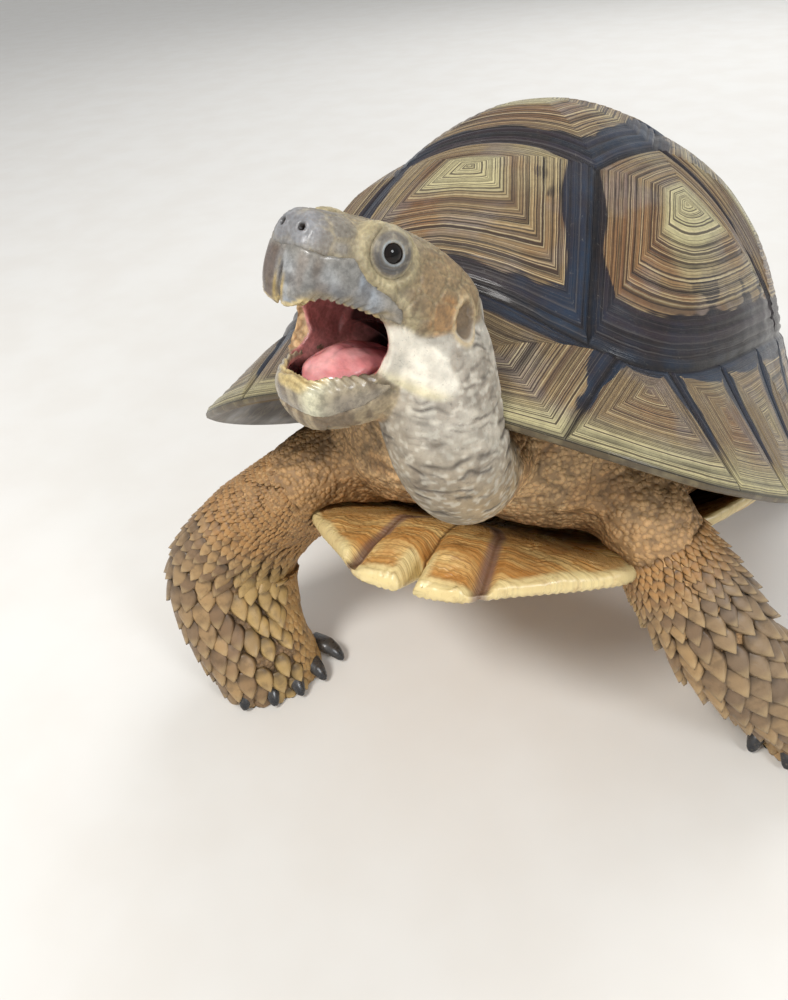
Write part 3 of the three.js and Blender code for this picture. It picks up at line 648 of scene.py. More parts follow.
SHELL_FRONT, SHELL_REAR, SHELL_HALF = 151, 133, 105.5
SHELL_SQUARENESS = 2.31
RIM_HEIGHT, FRONT_RISE, REAR_RISE, DOME = 30, 41, 6.5, 140
ROUNDNESS, BOXINESS = 1.38, 0.94
FLARE, FLARE_FROM = 28, 0.8
SHELL_THICKNESS, RIM_THICKNESS = 5, 2.4
SEAM_DEPTH = 0.9

MARGINAL_RIM = [0, 25, 46, 56, 67, 79, 91, 104, 118, 132, 148, 166]
MARGINAL_INNER = [0, 32, 40, 51, 64, 79, 91, 104, 117, 131, 147, 163]
VERTEBRAL_PEAKS = [3, 5, 5, 5, 4]
COSTAL_PEAKS = [6, 4, 5, 5]
MARGINAL_PEAK = 1.2
FIRST_SEAM, LAST_SEAM, TAIL_SEAM = 27.8, 153, 163
VERTEBRAL_CORNERS = [(0.25, -0.45), (0.25, -0.1), (0.24, 0.22), (0.2, 0.5)]
COSTAL_CORNERS = [(0.3, -0.25), (0.3, 0.06), (0.28, 0.37)]
COSTAL_FEET = [79, 104, 131]
VERTEBRAL_AREOLAS = [-0.56, -0.25, 0.07, 0.37, 0.63]
COSTAL_AREOLAS = [(0.42, -0.4), (0.5, -0.08), (0.49, 0.22), (0.42, 0.5)]
MARGINAL_AREOLA = 0.91
LARGE_PLATE_ROWS, MARGINAL_ROWS = 44, 18
SEAM_POINT_GAP = 1.25
LARGE_RINGS, MARGINAL_RINGS = 15, 9
LARGE_WELT, MARGINAL_WELT = 0.8, 0.45
RING_UNEVEN = 0.45
AREOLA_SINK = 0.25
SHARE_STEPS_POWER, LAST_SHARE = 1.15, 0.985


def disc_points(degrees, radius):
    angle = np.radians(degrees)
    return np.stack([radius * np.sin(angle), -radius * np.cos(angle)], axis=-1)


def carapace_base(disc):
    a, b = disc[..., 0], disc[..., 1]
    radius = np.hypot(a, b)
    safe = np.maximum(radius, 1e-9)
    c, s = a / safe, b / safe
    plan = (np.abs(c) ** SHELL_SQUARENESS + np.abs(s) ** SHELL_SQUARENESS + 1e-12) ** (-1 / SHELL_SQUARENESS)
    rim_x = SHELL_HALF * plan * c
    rim_y = np.where(s > 0, SHELL_REAR, SHELL_FRONT) * plan * s
    rim_z = RIM_HEIGHT + FRONT_RISE * np.maximum(-s, 0) ** 2.2 + REAR_RISE * np.maximum(s, 0) ** 2.5
    spread = (np.sin(ROUNDNESS * radius) / math.sin(ROUNDNESS)) ** BOXINESS
    low = math.cos(ROUNDNESS)
    climb = (np.cos(ROUNDNESS * radius) - low) / (1 - low)
    flare_share = np.maximum((radius - FLARE_FROM) / (1 - FLARE_FROM), 0) ** 1.6
    corner_share = np.maximum(1 - np.abs(np.abs(s) - 0.75) / 0.6, 0)
    flare = FLARE * flare_share * (0.35 + 0.65 * corner_share) / np.maximum(np.hypot(rim_x, rim_y), 1)
    out = spread + flare
    return np.stack([rim_x * out, rim_y * out, rim_z + (RIM_HEIGHT + DOME - rim_z) * climb], axis=-1)


def carapace_points(disc, lift):
    """Points of the shell, lifted off its base along its normal."""
    sides = [carapace_base(disc + step) - carapace_base(disc - step) for step in np.eye(2) * SLOPE_STEP]
    normal = np.cross(sides[1], sides[0])
    normal /= lengths(normal)
    normal *= np.where(normal[..., 2:] < 0, -1, 1)
    return carapace_base(disc) + normal * np.asarray(lift)[..., None]


def inner_radius(degrees):
    away = np.abs(np.where(np.asarray(degrees) > 180, 360 - np.asarray(degrees), degrees))
    return 0.8 + 0.08 * bump(away, 36, 22) - 0.05 * bump(away, 90, 40) + 0.02 * bump(away, 145, 25)


def corner_place(corner):
    if corner[0] == "rim":
        return disc_points(corner[1], 1.0)
    if corner[0] == "inner":
        return disc_points(corner[1], inner_radius(corner[1]))
    return np.array(corner[1:], float)


def mirrored_corner(corner):
    return (corner[0], -corner[1]) if len(corner) == 2 else (corner[0], -corner[1], corner[2])


def seam_points(start, finish):
    """Disc points from one corner up to, but without, the next."""
    ends = np.array([corner_place(start), corner_place(finish)])
    length = np.linalg.norm(np.diff(carapace_base(ends), axis=0))
    steps = max(2, int(round(length / SEAM_POINT_GAP)))
    t = np.arange(steps) / steps
    if start[0] == finish[0] and start[0] in ("rim", "inner"):
        degrees = mixed(start[1], finish[1], t)
        return disc_points(degrees, 1.0 if start[0] == "rim" else inner_radius(degrees))
    return mixed(ends[0], ends[1], t[:, None])


def outline_of(corners):
    pairs = zip(corners, corners[1:] + corners[:1])
    outline = np.vstack([seam_points(start, finish) for start, finish in pairs])
    following = np.roll(outline, -1, axis=0)
    area = np.sum(outline[:, 0] * following[:, 1] - outline[:, 1] * following[:, 0])
    return outline if area > 0 else outline[::-1]


def inner_corners(start, finish):
    stops = sorted({d for d in MARGINAL_INNER + [FIRST_SEAM, LAST_SEAM] if start < d < finish})
    return [("inner", d) for d in [start, *stops, finish]]


def scutes():
    """Every scute of the carapace: kind, number from the front, side, corners, areola and peak."""
    found = []

    def both(kind, number, corners, areola, peak):
        found.append((kind, number, 1, corners, areola, peak))
        other = [mirrored_corner(corner) for corner in corners]
        found.append((kind, number, -1, other, (-areola[0], areola[1]), peak))

    v = [("in", *place) for place in VERTEBRAL_CORNERS]
    c = [("in", *place) for place in COSTAL_CORNERS]
    sides = [[v[0]], [v[0], c[0], v[1]], [v[1], c[1], v[2]], [v[2], c[2], v[3]], [v[3]]]
    front = [("inner", d) for d in (-FIRST_SEAM, 0, FIRST_SEAM)]
    rear = [("inner", d) for d in (LAST_SEAM, TAIL_SEAM, 180, 360 - TAIL_SEAM, 360 - LAST_SEAM)]
    for i, side in enumerate(sides):
        other = [mirrored_corner(corner) for corner in side][::-1]
        corners = (front if i == 0 else []) + side + (rear if i == 4 else []) + other
        found.append(("vertebral", i, 0, corners, (0, VERTEBRAL_AREOLAS[i]), VERTEBRAL_PEAKS[i]))
    feet = [FIRST_SEAM, *COSTAL_FEET, LAST_SEAM]
    tops = [[v[0], c[0]], [c[0], v[1], c[1]], [c[1], v[2], c[2]], [c[2], v[3]]]
    for i, top in enumerate(tops):
        both("costal", i, inner_corners(feet[i], feet[i + 1]) + top[::-1], COSTAL_AREOLAS[i], COSTAL_PEAKS[i])
    for i in range(len(MARGINAL_RIM) - 1):
        rim, inner = MARGINAL_RIM[i : i + 2], MARGINAL_INNER[i : i + 2]
        corners = inner_corners(*inner) + [("rim", rim[1]), ("rim", rim[0])]
        both("marginal", i, corners, disc_points(sum(rim + inner) / 4, MARGINAL_AREOLA), MARGINAL_PEAK)
    tail = [("inner", d) for d in (TAIL_SEAM, 180, 360 - TAIL_SEAM)]
    tail += [("rim", d) for d in (360 - MARGINAL_RIM[-1], 180, MARGINAL_RIM[-1])]
    found.append(("marginal", 11, 0, tail, disc_points(180, MARGINAL_AREOLA), MARGINAL_PEAK))
    return found


def scute_relief(share, to_seam, reach, rings, welt_height, flat, seed):
    """The growth rings of a scute: how far they stand out, and how deep in a groove each point is."""
    wobble = noise(flat.reshape(-1, 3) + 40 * seed, 16, 3).reshape(share.shape)
    along_share = np.column_stack([share.ravel() * 6, np.full(share.size, 9 * seed), np.zeros(share.size)])
    uneven = noise(along_share, 1, 4).reshape(share.shape)
    phase = rings * share**0.9 + 0.14 * wobble + RING_UNEVEN * uneven + seed
    welt = np.abs(np.sin(np.pi * phase)) ** 0.7
    strength = smoothstep(0.14, 0.3, share) * smoothstep(0.3, 2.5, to_seam)
    widths = 0.4 + 0.6 * smoothstep(0.6, 3.0, reach[None, :] / rings)
    relief = welt_height * strength * widths * (welt - 0.6)
    return relief, strength * np.exp(-((welt / 0.42) ** 2))


def scute_patch(kind, number, side, corners, areola, peak):
    """The points, faces and values of one scute."""
    large = kind != "marginal"
    outline = outline_of(corners)
    columns = len(outline)
    areola = np.asarray(areola, float)
    rows = LARGE_PLATE_ROWS if large else MARGINAL_ROWS
    shares = 1 - np.linspace(0, 1, rows) ** SHARE_STEPS_POWER * LAST_SHARE
    edge = carapace_base(outline)
    middle = carapace_base(areola[None])[0]
    tangent = np.roll(edge, -1, axis=0) - np.roll(edge, 1, axis=0)
    reach = np.linalg.norm(np.cross(edge - middle, tangent / lengths(tangent)), axis=1)
    share = np.repeat(shares[:, None], columns, axis=1)
    to_seam = (1 - share) * reach[None, :]
    disc = areola + share[..., None] * (outline - areola)[None, :, :]
    seed = hashed(np.array([number + 3, side + 2, len(kind)]), 5)
    flat = carapace_base(disc)
    rings, welt_height = (LARGE_RINGS, LARGE_WELT) if large else (MARGINAL_RINGS, MARGINAL_WELT)
    relief, groove = scute_relief(share, to_seam, reach, rings, welt_height, flat, seed)
    lift = SEAM_DEPTH * smoothstep(0, 2.0, to_seam) + peak * np.minimum(1 - share, 0.86) + relief
    lift -= AREOLA_SINK * (1 - smoothstep(0.1, 0.24, share))
    points = carapace_points(disc, lift).reshape(-1, 3)
    centre = carapace_points(areola[None], np.array([lift[-1].mean()]))
    tris = fan((rows - 1) * columns, columns, rows * columns)
    share = np.append(share.ravel(), 0)
    to_seam = np.append(to_seam.ravel(), reach.mean())
    level = np.vstack([flat.reshape(-1, 3), middle[None]])
    radius = np.append(np.hypot(disc[..., 0], disc[..., 1]).ravel(), 0.9)
    dark, pale, blue_sheen = scute_tones(kind, number, radius, share, to_seam, level, middle, seed)
    values = {
        "share": share,
        "seed": np.full(len(share), seed),
        "dark": dark,
        "pale": pale,
        "blue_sheen": blue_sheen,
        "seam": to_seam,
        "groove": np.append(groove.ravel(), 0),
    }
    return from_shell(np.vstack([points, centre])), strip_quads(rows, columns), tris, values


def scute_tones(kind, number, radius, share, to_seam, level, middle, seed):
    """How dark and how pale a scute is at each of its points, and how much bluish painted sky sheen lies over
    its dark bands.
    """
    patch = noise(level + 300 * seed, 22, 11)
    streak = noise(level * [1, 1, 0.3] + 90 * seed, 5, 12)
    away = level - middle
    if kind == "marginal":
        outward = middle[:2] / np.linalg.norm(middle[:2])
        inward = smoothstep(-3, 16, -(away[:, :2] @ outward))
        wedge = smoothstep(3.0 + 7 * inward, 1.5 + 3 * inward, to_seam + 1.2 * streak)
        wedge *= smoothstep(0.99, 0.93, radius) * smoothstep(0.3, 0.6, share)
        fan = 1.0 if number in (0, 1) else 0.25
        dark = np.clip(wedge + fan * inward * smoothstep(-0.3, 0.35, patch + 0.4 * streak), 0, 1)
        pale = np.maximum(smoothstep(0.955, 0.99, radius), 0.45 * smoothstep(0.1, 0.6, patch))
        # The third value is the painted bluish sky sheen over the dark wedges and fans.
        return dark, pale, np.clip(0.6 + 0.4 * streak + 0.3 * patch, 0, 1)
    low = smoothstep(8, 34, middle[2] - level[:, 2])
    ahead = smoothstep(4, 34, -away[:, 1])
    sideways = smoothstep(14, 40, np.abs(away[:, 0]))
    if kind == "vertebral":
        start = mixed(mixed(0.84, 0.7, ahead), 0.66, sideways * (1 - ahead))
    else:
        start = mixed(mixed(0.9, 0.84, ahead), 0.66, low)
    band = smoothstep(start - 0.02, start + 0.08, share + 0.05 * patch + 0.03 * streak)
    scattered = 0.55 * smoothstep(0.3, 0.65, patch + 0.6 * streak) * smoothstep(0.3, 0.6, share)
    dark = np.maximum(band * (0.8 + 0.2 * smoothstep(-0.7, 0.2, patch)), scattered)
    pale = smoothstep(0.34, 0.2, share) + 0.5 * smoothstep(0.0, 0.6, patch) * (1 - band)
    top = sideways if kind == "vertebral" else 0.35 * smoothstep(0.93, 0.99, share) + 0.35 * ahead
    # Painted sky sheen: a bluish tint over the dark bands.
    blue_sheen = np.clip(0.7 * top + 0.35 * streak - 0.15, 0, 1) * band
    return dark, np.clip(pale, 0, 1), blue_sheen


def shell_material():
    s = Shader("shell_horn", roughness=0.3, Specular_IOR_Level=0.3, Coat_Weight=0.14, Coat_Roughness=0.1)
    offset = s.times(s.stored("seed"), 61.0)
    bent = s.plus(s.stored("share"), s.times(s.noise(9, 2), 0.016))
    fine = s.lines(s.plus(s.times(bent, 62.0), offset), 3.0, 0.65)
    broad = s.lines(s.plus(s.times(bent, 13.0), offset), 2.0)
    tan = s.over("#65503b", "#957d58", broad, 0.34, 0.62)
    tan = s.over(tan, "#80552f", s.noise(30, 2), 0.48, 0.64, 0.6)
    tan = s.over(tan, "#7e7573", s.noise(21, 2), 0.5, 0.66, 0.5)
    tan = s.mix(s.times(s.stored("pale"), 0.8), tan, "#b9b184")
    tan = s.over(tan, "#33271f", fine, 0.49, 0.57, 0.85)
    tan = s.over(tan, "#cabb92", fine, 0.42, 0.36, 0.5)
    black = s.over("#0d0a0f", "#241a20", broad, 0.35, 0.65)
    # Painted sky sheen: the dark bands mixed towards navy.
    black = s.mix(s.times(s.stored("blue_sheen"), 0.85), black, "#1d3247")
    black = s.over(black, "#5a5553", fine, 0.45, 0.35, 0.5)
    border = s.plus(s.stored("dark"), s.times(s.math("SUBTRACT", fine, 0.5), 0.9))
    base = s.over(tan, black, border, 0.34, 0.6)
    base = s.mix(s.times(s.stored("groove"), 0.8), base, "#17110f")
    base = s.over(base, "#120e0d", s.stored("seam"), 1.5, 0.2, 0.8)
    base = s.over(base, "#3a2e23", s.noise(2.2, 4), 0.35, 0.75, 0.25)
    base = s.over(base, "#a59f92", s.noise(1.3, 5, 0.7, distortion=1.5), 0.6, 0.72, 0.2)
    grain = s.relief(s.noise(0.9, 3), 0.07, 0.8, after=s.relief(fine, 0.4, 0.9))
    return s.finish(base, s.uneven(14, 4, 0.3, 0.5), grain)


def shell_lining():
    """The rim and the inner face of the carapace, facing in."""
    stops = [*MARGINAL_RIM, 180, *[360 - d for d in MARGINAL_RIM[:0:-1]], 360]
    rim = np.vstack([seam_points(("rim", a), ("rim", b)) for a, b in zip(stops, stops[1:])])
    rows = [(1, 0), (1.002, 1.2), (1, RIM_THICKNESS), (0.975, 4.2), (0.95, SHELL_THICKNESS)]
    rows += [(share, SHELL_THICKNESS) for share in (0.9, 0.84, 0.78, 0.7, 0.55, 0.4, 0.25, 0.1)]
    rings = [carapace_points(rim * share, np.full(len(rim), -float(depth))) for share, depth in rows]
    crown = carapace_points(np.zeros((1, 2)), np.array([-float(SHELL_THICKNESS)]))
    points = np.vstack([*rings, crown])
    columns, count = len(rim), len(rows) * len(rim)
    flat = {key: np.zeros(len(points)) for key in ("share", "seed", "dark", "blue_sheen", "groove")}
    values = {**flat, "pale": np.full(len(points), 0.6), "seam": np.full(len(points), 9.0)}
    tris = fan(count - columns, columns, count)
    return from_shell(points), strip_quads(len(rows), columns)[:, ::-1], tris[:, ::-1], values


def build_carapace():
    facing_out = joined([scute_patch(*scute) for scute in scutes()])
    corner, beside, _, above = facing_out[0][facing_out[1][0]]
    outward = corner - from_shell(np.array([0, 0, 60.0]))
    flip = np.cross(beside - corner, above - corner) @ outward < 0
    points, quads, tris, values = joined([facing_out, shell_lining()])
    item = new_mesh_object("carapace_horn", points, quads, tris, values, weld=True, flip=flip)
    dress(item, shell_material(), "shell", "carapace")


# ---- Plastron ----

# Each station: y, half width, how far its edge turns up, and thickness.
PLASTRON_STATIONS = [
    [-147, 17, 1, 7.5], [-144, 23, 1, 10], [-134, 34, 2, 15.5], [-120, 52, 3, 21], [-107, 66, 4, 19],
    [-90, 66, 4, 13], [-72, 66, 5, 8], [-58, 84, 15, 8], [-48, 100, 27, 8], [-20, 104, 29, 8],
    [20, 104, 29, 8], [48, 99, 27, 8], [58, 82, 14, 8], [70, 62, 4, 8], [86, 57, 3, 8],
    [101, 49, 3, 8], [113, 36, 2, 8], [121, 22, 1, 6],
]
PLASTRON_TURN_POWER = 4
PLASTRON_THIN = 8
PLASTRON_EDGE, PLASTRON_ROUNDING = 8.0, 3.6  # how far in its edge reaches, and how far it is rounded
GULAR_NOTCH = (-131, -152, 3.6)  # tip, mouth and half its mouth
ANAL_NOTCH = (106, 128, 17)
# Seams across the plastron: where each meets the midline, and how far it leans back per millimetre out.
PLASTRON_SEAMS = [(-64, 0.18), (-40, 0.04), (46, 0.1), (86, 0.22)]
LOBE_SEAM = [(-152, 26), (-112, 19.5), (-98, 12), (-86, 0)]  # y, and how far it is from the midline
PLASTRON_SHARES = 96
LOBE_SEAM_DEPTH, LOBE_SEAM_WIDTH = 5.5, 3.4
MIDDLE_FURROW_DEPTH, MIDDLE_FURROW_WIDTH = 4.5, 2.6
SEAM_WIDTH, RIDGE_GAP, TERRACE_GAP = 0.9, 2.6, 2.9


def plastron_plan():
    """The rows' places along the plastron, with its half width, turned edge, thickness and notches there."""
    y = np.concatenate([np.arange(-147, -90, 0.7), np.arange(-90, 121, 1.3), [121.0]])
    half, turn, thick = (np.interp(y, *np.array(PLASTRON_STATIONS)[:, [0, k]].T) for k in (1, 2, 3))
    blurred_half = np.convolve(np.pad(half, 4, mode="edge"), np.ones(9) / 9, mode="valid")
    half = np.where((y > -140) & (y < 116), blurred_half, half)
    notch = np.zeros(len(y))
    for tip, mouth, wide in (GULAR_NOTCH, ANAL_NOTCH):
        notch = np.maximum(notch, wide * np.clip((y - tip) / (mouth - tip), 0, 1) ** 0.8)
    notch = np.minimum(notch, half - 4) + 0.02
    return (values[:, None] for values in (y, half, turn, thick, notch))


def plastron_relief(x, y, side, gap, lobe):
    """How far the seams and ridges stand out, and the same with the front lobes' own shape."""
    front = smoothstep(-100, -112, y)
    growth = np.abs(np.sin(np.pi * (y / TERRACE_GAP + 0.9 * noise_at(x * side, y, 5, 96) + 0.02 * x)))
    terraces = 0.5 * (growth - 0.6) * smoothstep(2, 5, lobe) * front
    ridges = 0.25 * np.cos(2 * np.pi * gap / RIDGE_GAP) * smoothstep(1, 4, gap)
    relief = -0.75 * np.exp(-((gap / SEAM_WIDTH) ** 2)) + ridges
    swell = 1.6 * noise_at(x * side, y, 11, 97) * front
    furrow = -LOBE_SEAM_DEPTH * np.exp(-((lobe / LOBE_SEAM_WIDTH) ** 2)) * smoothstep(-112, -138, y)
    middle = -MIDDLE_FURROW_DEPTH * np.exp(-((x / MIDDLE_FURROW_WIDTH) ** 2)) * smoothstep(-108, -130, y)
    return relief, relief * (1 - 0.6 * front) + terraces + swell + furrow + middle


def plastron_half(side):
    """One half of the plastron as rows from the midline out, over its lower and upper faces."""
    y, half, turn, thick, notch = plastron_plan()
    share = np.linspace(0, 1, PLASTRON_SHARES)
    # A closed ring for each row: out along the lower face and back along the upper one
    columns = np.concatenate([share, share[::-1]])
    is_upper = np.arange(2 * PLASTRON_SHARES) >= PLASTRON_SHARES
    x = notch + (half - notch) * columns
    across = np.abs(x / half)
    edge = np.minimum(half - x, PLASTRON_EDGE)
    ends = np.minimum(np.minimum(y + 147.6, 121.6 - y), PLASTRON_EDGE)
    notch_edge = np.where(notch > 0.5, x - notch, PLASTRON_EDGE)
    close = np.minimum(np.minimum(edge, ends), notch_edge)
    from_round = 1 - np.clip(close, 0, PLASTRON_ROUNDING) / PLASTRON_ROUNDING
    body = np.sqrt(np.clip(1 - from_round**2, 0.02, 1))
    depth = thick - np.maximum(thick - PLASTRON_THIN, 0) * across**2
    under = np.minimum(depth, PLASTRON_THIN) / 2
    spread = 0.3 + 0.7 * body
    thin = 1 - 0.3 * smoothstep(20, 2, edge)
    middle = turn * across**PLASTRON_TURN_POWER + under
    below = under * spread * thin
    above = (depth - under) * spread * thin
    relief, top = plastron_relief(x, y, side, *plastron_gap(x, np.broadcast_to(y, x.shape)))
    upper_z = np.maximum(middle + above + top, middle - 0.4 * below + 0.4)
    z = np.where(is_upper, upper_z, middle - below - relief)
    points, quads, tris = loft(np.stack([side * x, np.broadcast_to(y, x.shape), z], axis=-1))
    if side > 0:
        quads, tris = quads[:, ::-1], tris[:, ::-1]
    gap, lobe = plastron_gap(np.abs(points[:, 0]), points[:, 1])
    rim = np.append(close.ravel(), [0, 0])
    return points, quads, tris, {"gap": gap, "lobe": lobe, "rim": rim, "along": points[:, 1] / 100}


def noise_at(x, y, size, seed):
    """Noise over rows of x at each y."""
    x, y = np.broadcast_arrays(x, y)
    return noise(np.column_stack([x.ravel(), y.ravel(), np.zeros(x.size)]), size, seed).reshape(x.shape)


def plastron_gap(x, y):
    """The distance to the nearest seam, and to the seam behind the front lobes."""
    gap = np.abs(x)
    lobe = np.abs(x - np.interp(y, *np.transpose(LOBE_SEAM)))
    lobe = np.where(y > LOBE_SEAM[-1][0], np.hypot(x, y - LOBE_SEAM[-1][0]), lobe)
    gap = np.minimum(gap, lobe)
    for at, lean in PLASTRON_SEAMS:
        gap = np.minimum(gap, np.abs(y - at - lean * x) / math.hypot(1, lean))
    return gap, lobe


def plastron_material():
    s = Shader("plastron_horn", roughness=0.32, Coat_Weight=0.25, Coat_Roughness=0.18)
    gap, along = s.stored("gap"), s.stored("along")
    sway = s.times(s.noise(16, 2), 2.2)
    rows = s.plus(s.times(along, 100.0), sway)
    ahead = s.range(along, -1.0, -1.12)
    place = s.node("MixRGB", Fac=ahead, Color1=s.plus(gap, sway), Color2=rows).outputs[0]
    fine = s.lines(place, 3.0)
    broad = s.lines(s.times(place, 0.16), 2.0)
    base = s.over("#c08c4c", "#dab878", broad, 0.35, 0.65)
    base = s.over(base, "#b57a3c", s.noise(13, 3), 0.42, 0.7, 0.6)
    base = s.over(base, "#7c5128", fine, 0.52, 0.64, 0.55)
    base = s.over(base, "#e0cf97", s.stored("rim"), 6.0, 2.6, 0.75)
    base = s.over(base, "#6f5857", s.stored("lobe"), 3.6, 1.2, 0.75)
    base = s.over(base, "#5b3a20", gap, 1.1, 0.1, 0.65)
    base = s.over(base, "#8a5f35", s.noise(3, 4), 0.5, 0.75, 0.35)
    return s.finish(base, s.uneven(12, 3, 0.24, 0.42), s.relief(fine, 0.4, 0.8))


def build_plastron():
    points, quads, tris, values = joined([plastron_half(side) for side in SIDES.values()])
    points = from_shell(points)
    points[:, 2] = np.maximum(points[:, 2], 0)
    item = new_mesh_object("plastron_horn", points, quads, tris, values)
    dress(item, plastron_material(), "plastron", "plastron")


# ---- Head, jaw and throat: y, half width, top, bottom, level of the widest place, power ----

HEAD_STATIONS = [
    [-29.2, 4.6, 5.0, -4.0, 0.5, 2.3], [-28.4, 7.0, 7.0, -9.0, -2, 2.4],
    [-27.2, 8.7, 8.0, -12.4, -2, 2.6], [-23.5, 10.8, 9.2, -12.2, 0, 2.7],
    [-17, 12.6, 10.4, -10.8, -2, 2.7], [-9, 14.6, 12, -10.4, -3, 2.6], [0, 17, 13, -11.2, -4, 2.5],
    [8, 18.9, 13, -12.2, -4, 2.4], [15, 19.4, 12, -13, -3, 2.3], [22, 18, 10.2, -12.4, -2, 2.2],
    [28, 13, 7, -10, -2, 2.1],
]
PALATE_STATIONS = [
    [-25.6, 4.8, -7, -16, -11.5, 2.4], [-23.4, 7.8, -5.4, -18, -11.7, 2.6], [-16, 10.4, -4, -20, -12, 2.8],
    [-8, 12, -3.6, -20, -11.8, 2.8], [0, 13.8, -4.4, -20, -12.2, 2.8], [6, 14, -6.4, -20, -13.2, 2.6],
]
JAW_STATIONS = [
    [-22.0, 4.2, -11.6, -15.6, -13.4, 2.2], [-21.3, 7.2, -10.6, -19.6, -14.4, 2.2],
    [-20.2, 9.0, -9.6, -22.4, -15, 2.2], [-15, 12, -7.8, -25, -14, 2.7], [-8, 14.2, -8.4, -26.4, -14, 2.6],
    [0, 15.8, -9.8, -26.8, -15, 2.5], [8, 17, -10.8, -26, -15, 2.4], [15, 16.4, -9, -23, -16, 2.3],
]
MOUTH_FLOOR_STATIONS = [
    [-19.4, 4.8, -4, -13.6, -8.8, 2.4], [-15, 8.8, -4, -15.4, -9.7, 2.8], [-8, 11.2, -4, -16, -10, 2.8],
    [0, 12.8, -4, -16, -10, 2.8], [17, 12, -4, -15, -9.5, 2.6],
]
THROAT_STATIONS = [
    [1, 14.4, -8, -18, -13, 2.3], [8, 17, -7, -24, -15.5, 2.2],
    [16, 17, -6, -29, -17.5, 2.1], [25, 14, -4, -27, -15.5, 2],
]
CORNER_STATIONS = [
    [-10, 14.2, -4.5, -27, -15, 3.2], [3, 16.2, -4.5, -27, -15.5, 3.2], [9, 16.6, -6, -26, -15.5, 2.6],
]
GAPE_AT, GAPE_RADII = [10, -12, -18], [26, 11, 11]
HEAD_BAND = 5
TONGUE_STATIONS = [
    [-16, 3, -12.6, -14, -13.3, 2], [-13.6, 6, -10.4, -14.5, -12.4, 2.2], [-7, 8.2, -8.8, -15.2, -12, 2.2],
    [2, 8.4, -9, -15.3, -12.1, 2.2], [9, 6.4, -11.4, -14.6, -13, 2.2],
]
GULLET_AT, GULLET_RADII = [0, 1, -14], [11, 15, 5]
BROW_AT, BROW_RADII = [9.8, -9.6, 7], [5.2, 8.2, 5.4]
BEAK_LINE = [(-40, 0.5), (-26, 0.5), (-19, 2.6), (-11, -1.8), (-3, -5), (3, -13), (3.1, -60)]
LOWER_BEAK_LINE = [(-40, -19), (-20, -18.6), (-10, -17.6), (-2, -15), (1, -8), (1.1, 40)]
EYE_FACING = np.array([0.94, -0.3, 0.1]) / np.linalg.norm([0.94, -0.3, 0.1])
NOSTRIL_AT = np.array([3.4, -28.8, 4.2])
EAR_AT = np.array([19, 14.4, -2.0])
LID_REACH = 5.2
# The lids' section: distance from the eye's axis, and how far out.
LID_SECTION = [
    (2.25, 2.5), (2.36, 2.74), (2.5, 2.94), (2.75, 3.02), (3.1, 2.94), (3.6, 2.78), (4.2, 2.58),
    (4.8, 2.3), (5.2, 2.0), (5.6, 1.6), (6.0, 1.1), (6.4, 0.4),
]
LID_ROWS, LID_COLUMNS = 44, 128
BEAK_DEPTH, BEAK_PROUD = 2.0, 0.05
CLEFT_DEPTH = 0.9
CLEFT_TIP, CLEFT_MOUTH, CLEFT_HALF, CLEFT_MIDDLE = -3.5, -13.5, 0.9, 0.6

NECK = Limb([
    [4, -84, 141, 20, 17], [9, -103, 147, 17, 15.5], [12, -117, 157, 15.5, 16.5],
    [10.5, -122, 170, 16.5, 18.5], [4, -116, 185, 17.5, 19], [-3, -107, 198, 16.5, 14.5],
], [1, 0, 0], power=2, inset=0.4)

FORELEG_STATIONS = {
    "right": [
        [-60, -54, 104, 24, 22], [-76, -72, 95, 25, 20], [-97, -86, 78, 27, 19.5],
        [-110.5, -96, 56, 30, 17.5],
        [-107, -103, 34, 28, 17], [-99, -107, 16, 25, 19.5],
        [-97, -105, 2, 25, 21.5], [-97, -104, -6, 23, 20],
    ],
    "left": [
        [48, -54, 116, 20, 18], [60, -63, 104, 19, 18], [74, -63, 84, 22, 20], [88, -57, 58, 28, 20],
        [105, -50, 36, 28, 19], [122, -42, 18, 25.5, 19], [130, -39, 2, 25, 21.5], [131, -39, -6, 23, 20],
    ],
}
HINDLEG_STATIONS = {
    "right": [
        [-56, 74, 46, 26, 22], [-80, 84, 38, 26, 22], [-100, 94, 24, 24, 21], [-106, 98, 8, 23, 22],
        [-107, 98, -6, 22, 21],
    ],
    "left": [
        [54, 80, 56, 26, 22], [76, 100, 46, 26, 22], [96, 121, 28, 24, 21], [104, 134, 9, 23, 22],
        [105, 136, -6, 22, 21],
    ],
}
LIMB_INSET = 1.3
TAIL = Limb([
    [0, 108, 30, 17, 12], [2, 126, 22, 15, 11], [8, 139, 13, 11, 8.6], [17, 146, 7, 6.6, 5.4],
    [25, 147, 4.4, 3, 2.8],
], [1, 0, 0], power=2, inset=0.5)


def leg(stations, side, out, rear):
    return Limb(stations[side], [out * SIDES[side], rear, 0], inset=LIMB_INSET)


FORELEGS = {side: leg(FORELEG_STATIONS, side, -0.62, 0.78) for side in SIDES}
HINDLEGS = {side: leg(HINDLEG_STATIONS, side, 0.3, 0.95) for side in SIDES}

FINE = Grid([-47, -163, 118], [40, -70, 238], 0.5)
COARSE = Grid([-150, -156, -3], [160, 172, 238], 1.3)


def mirror(point, side):
    return np.array(point) * [side, 1, 1]


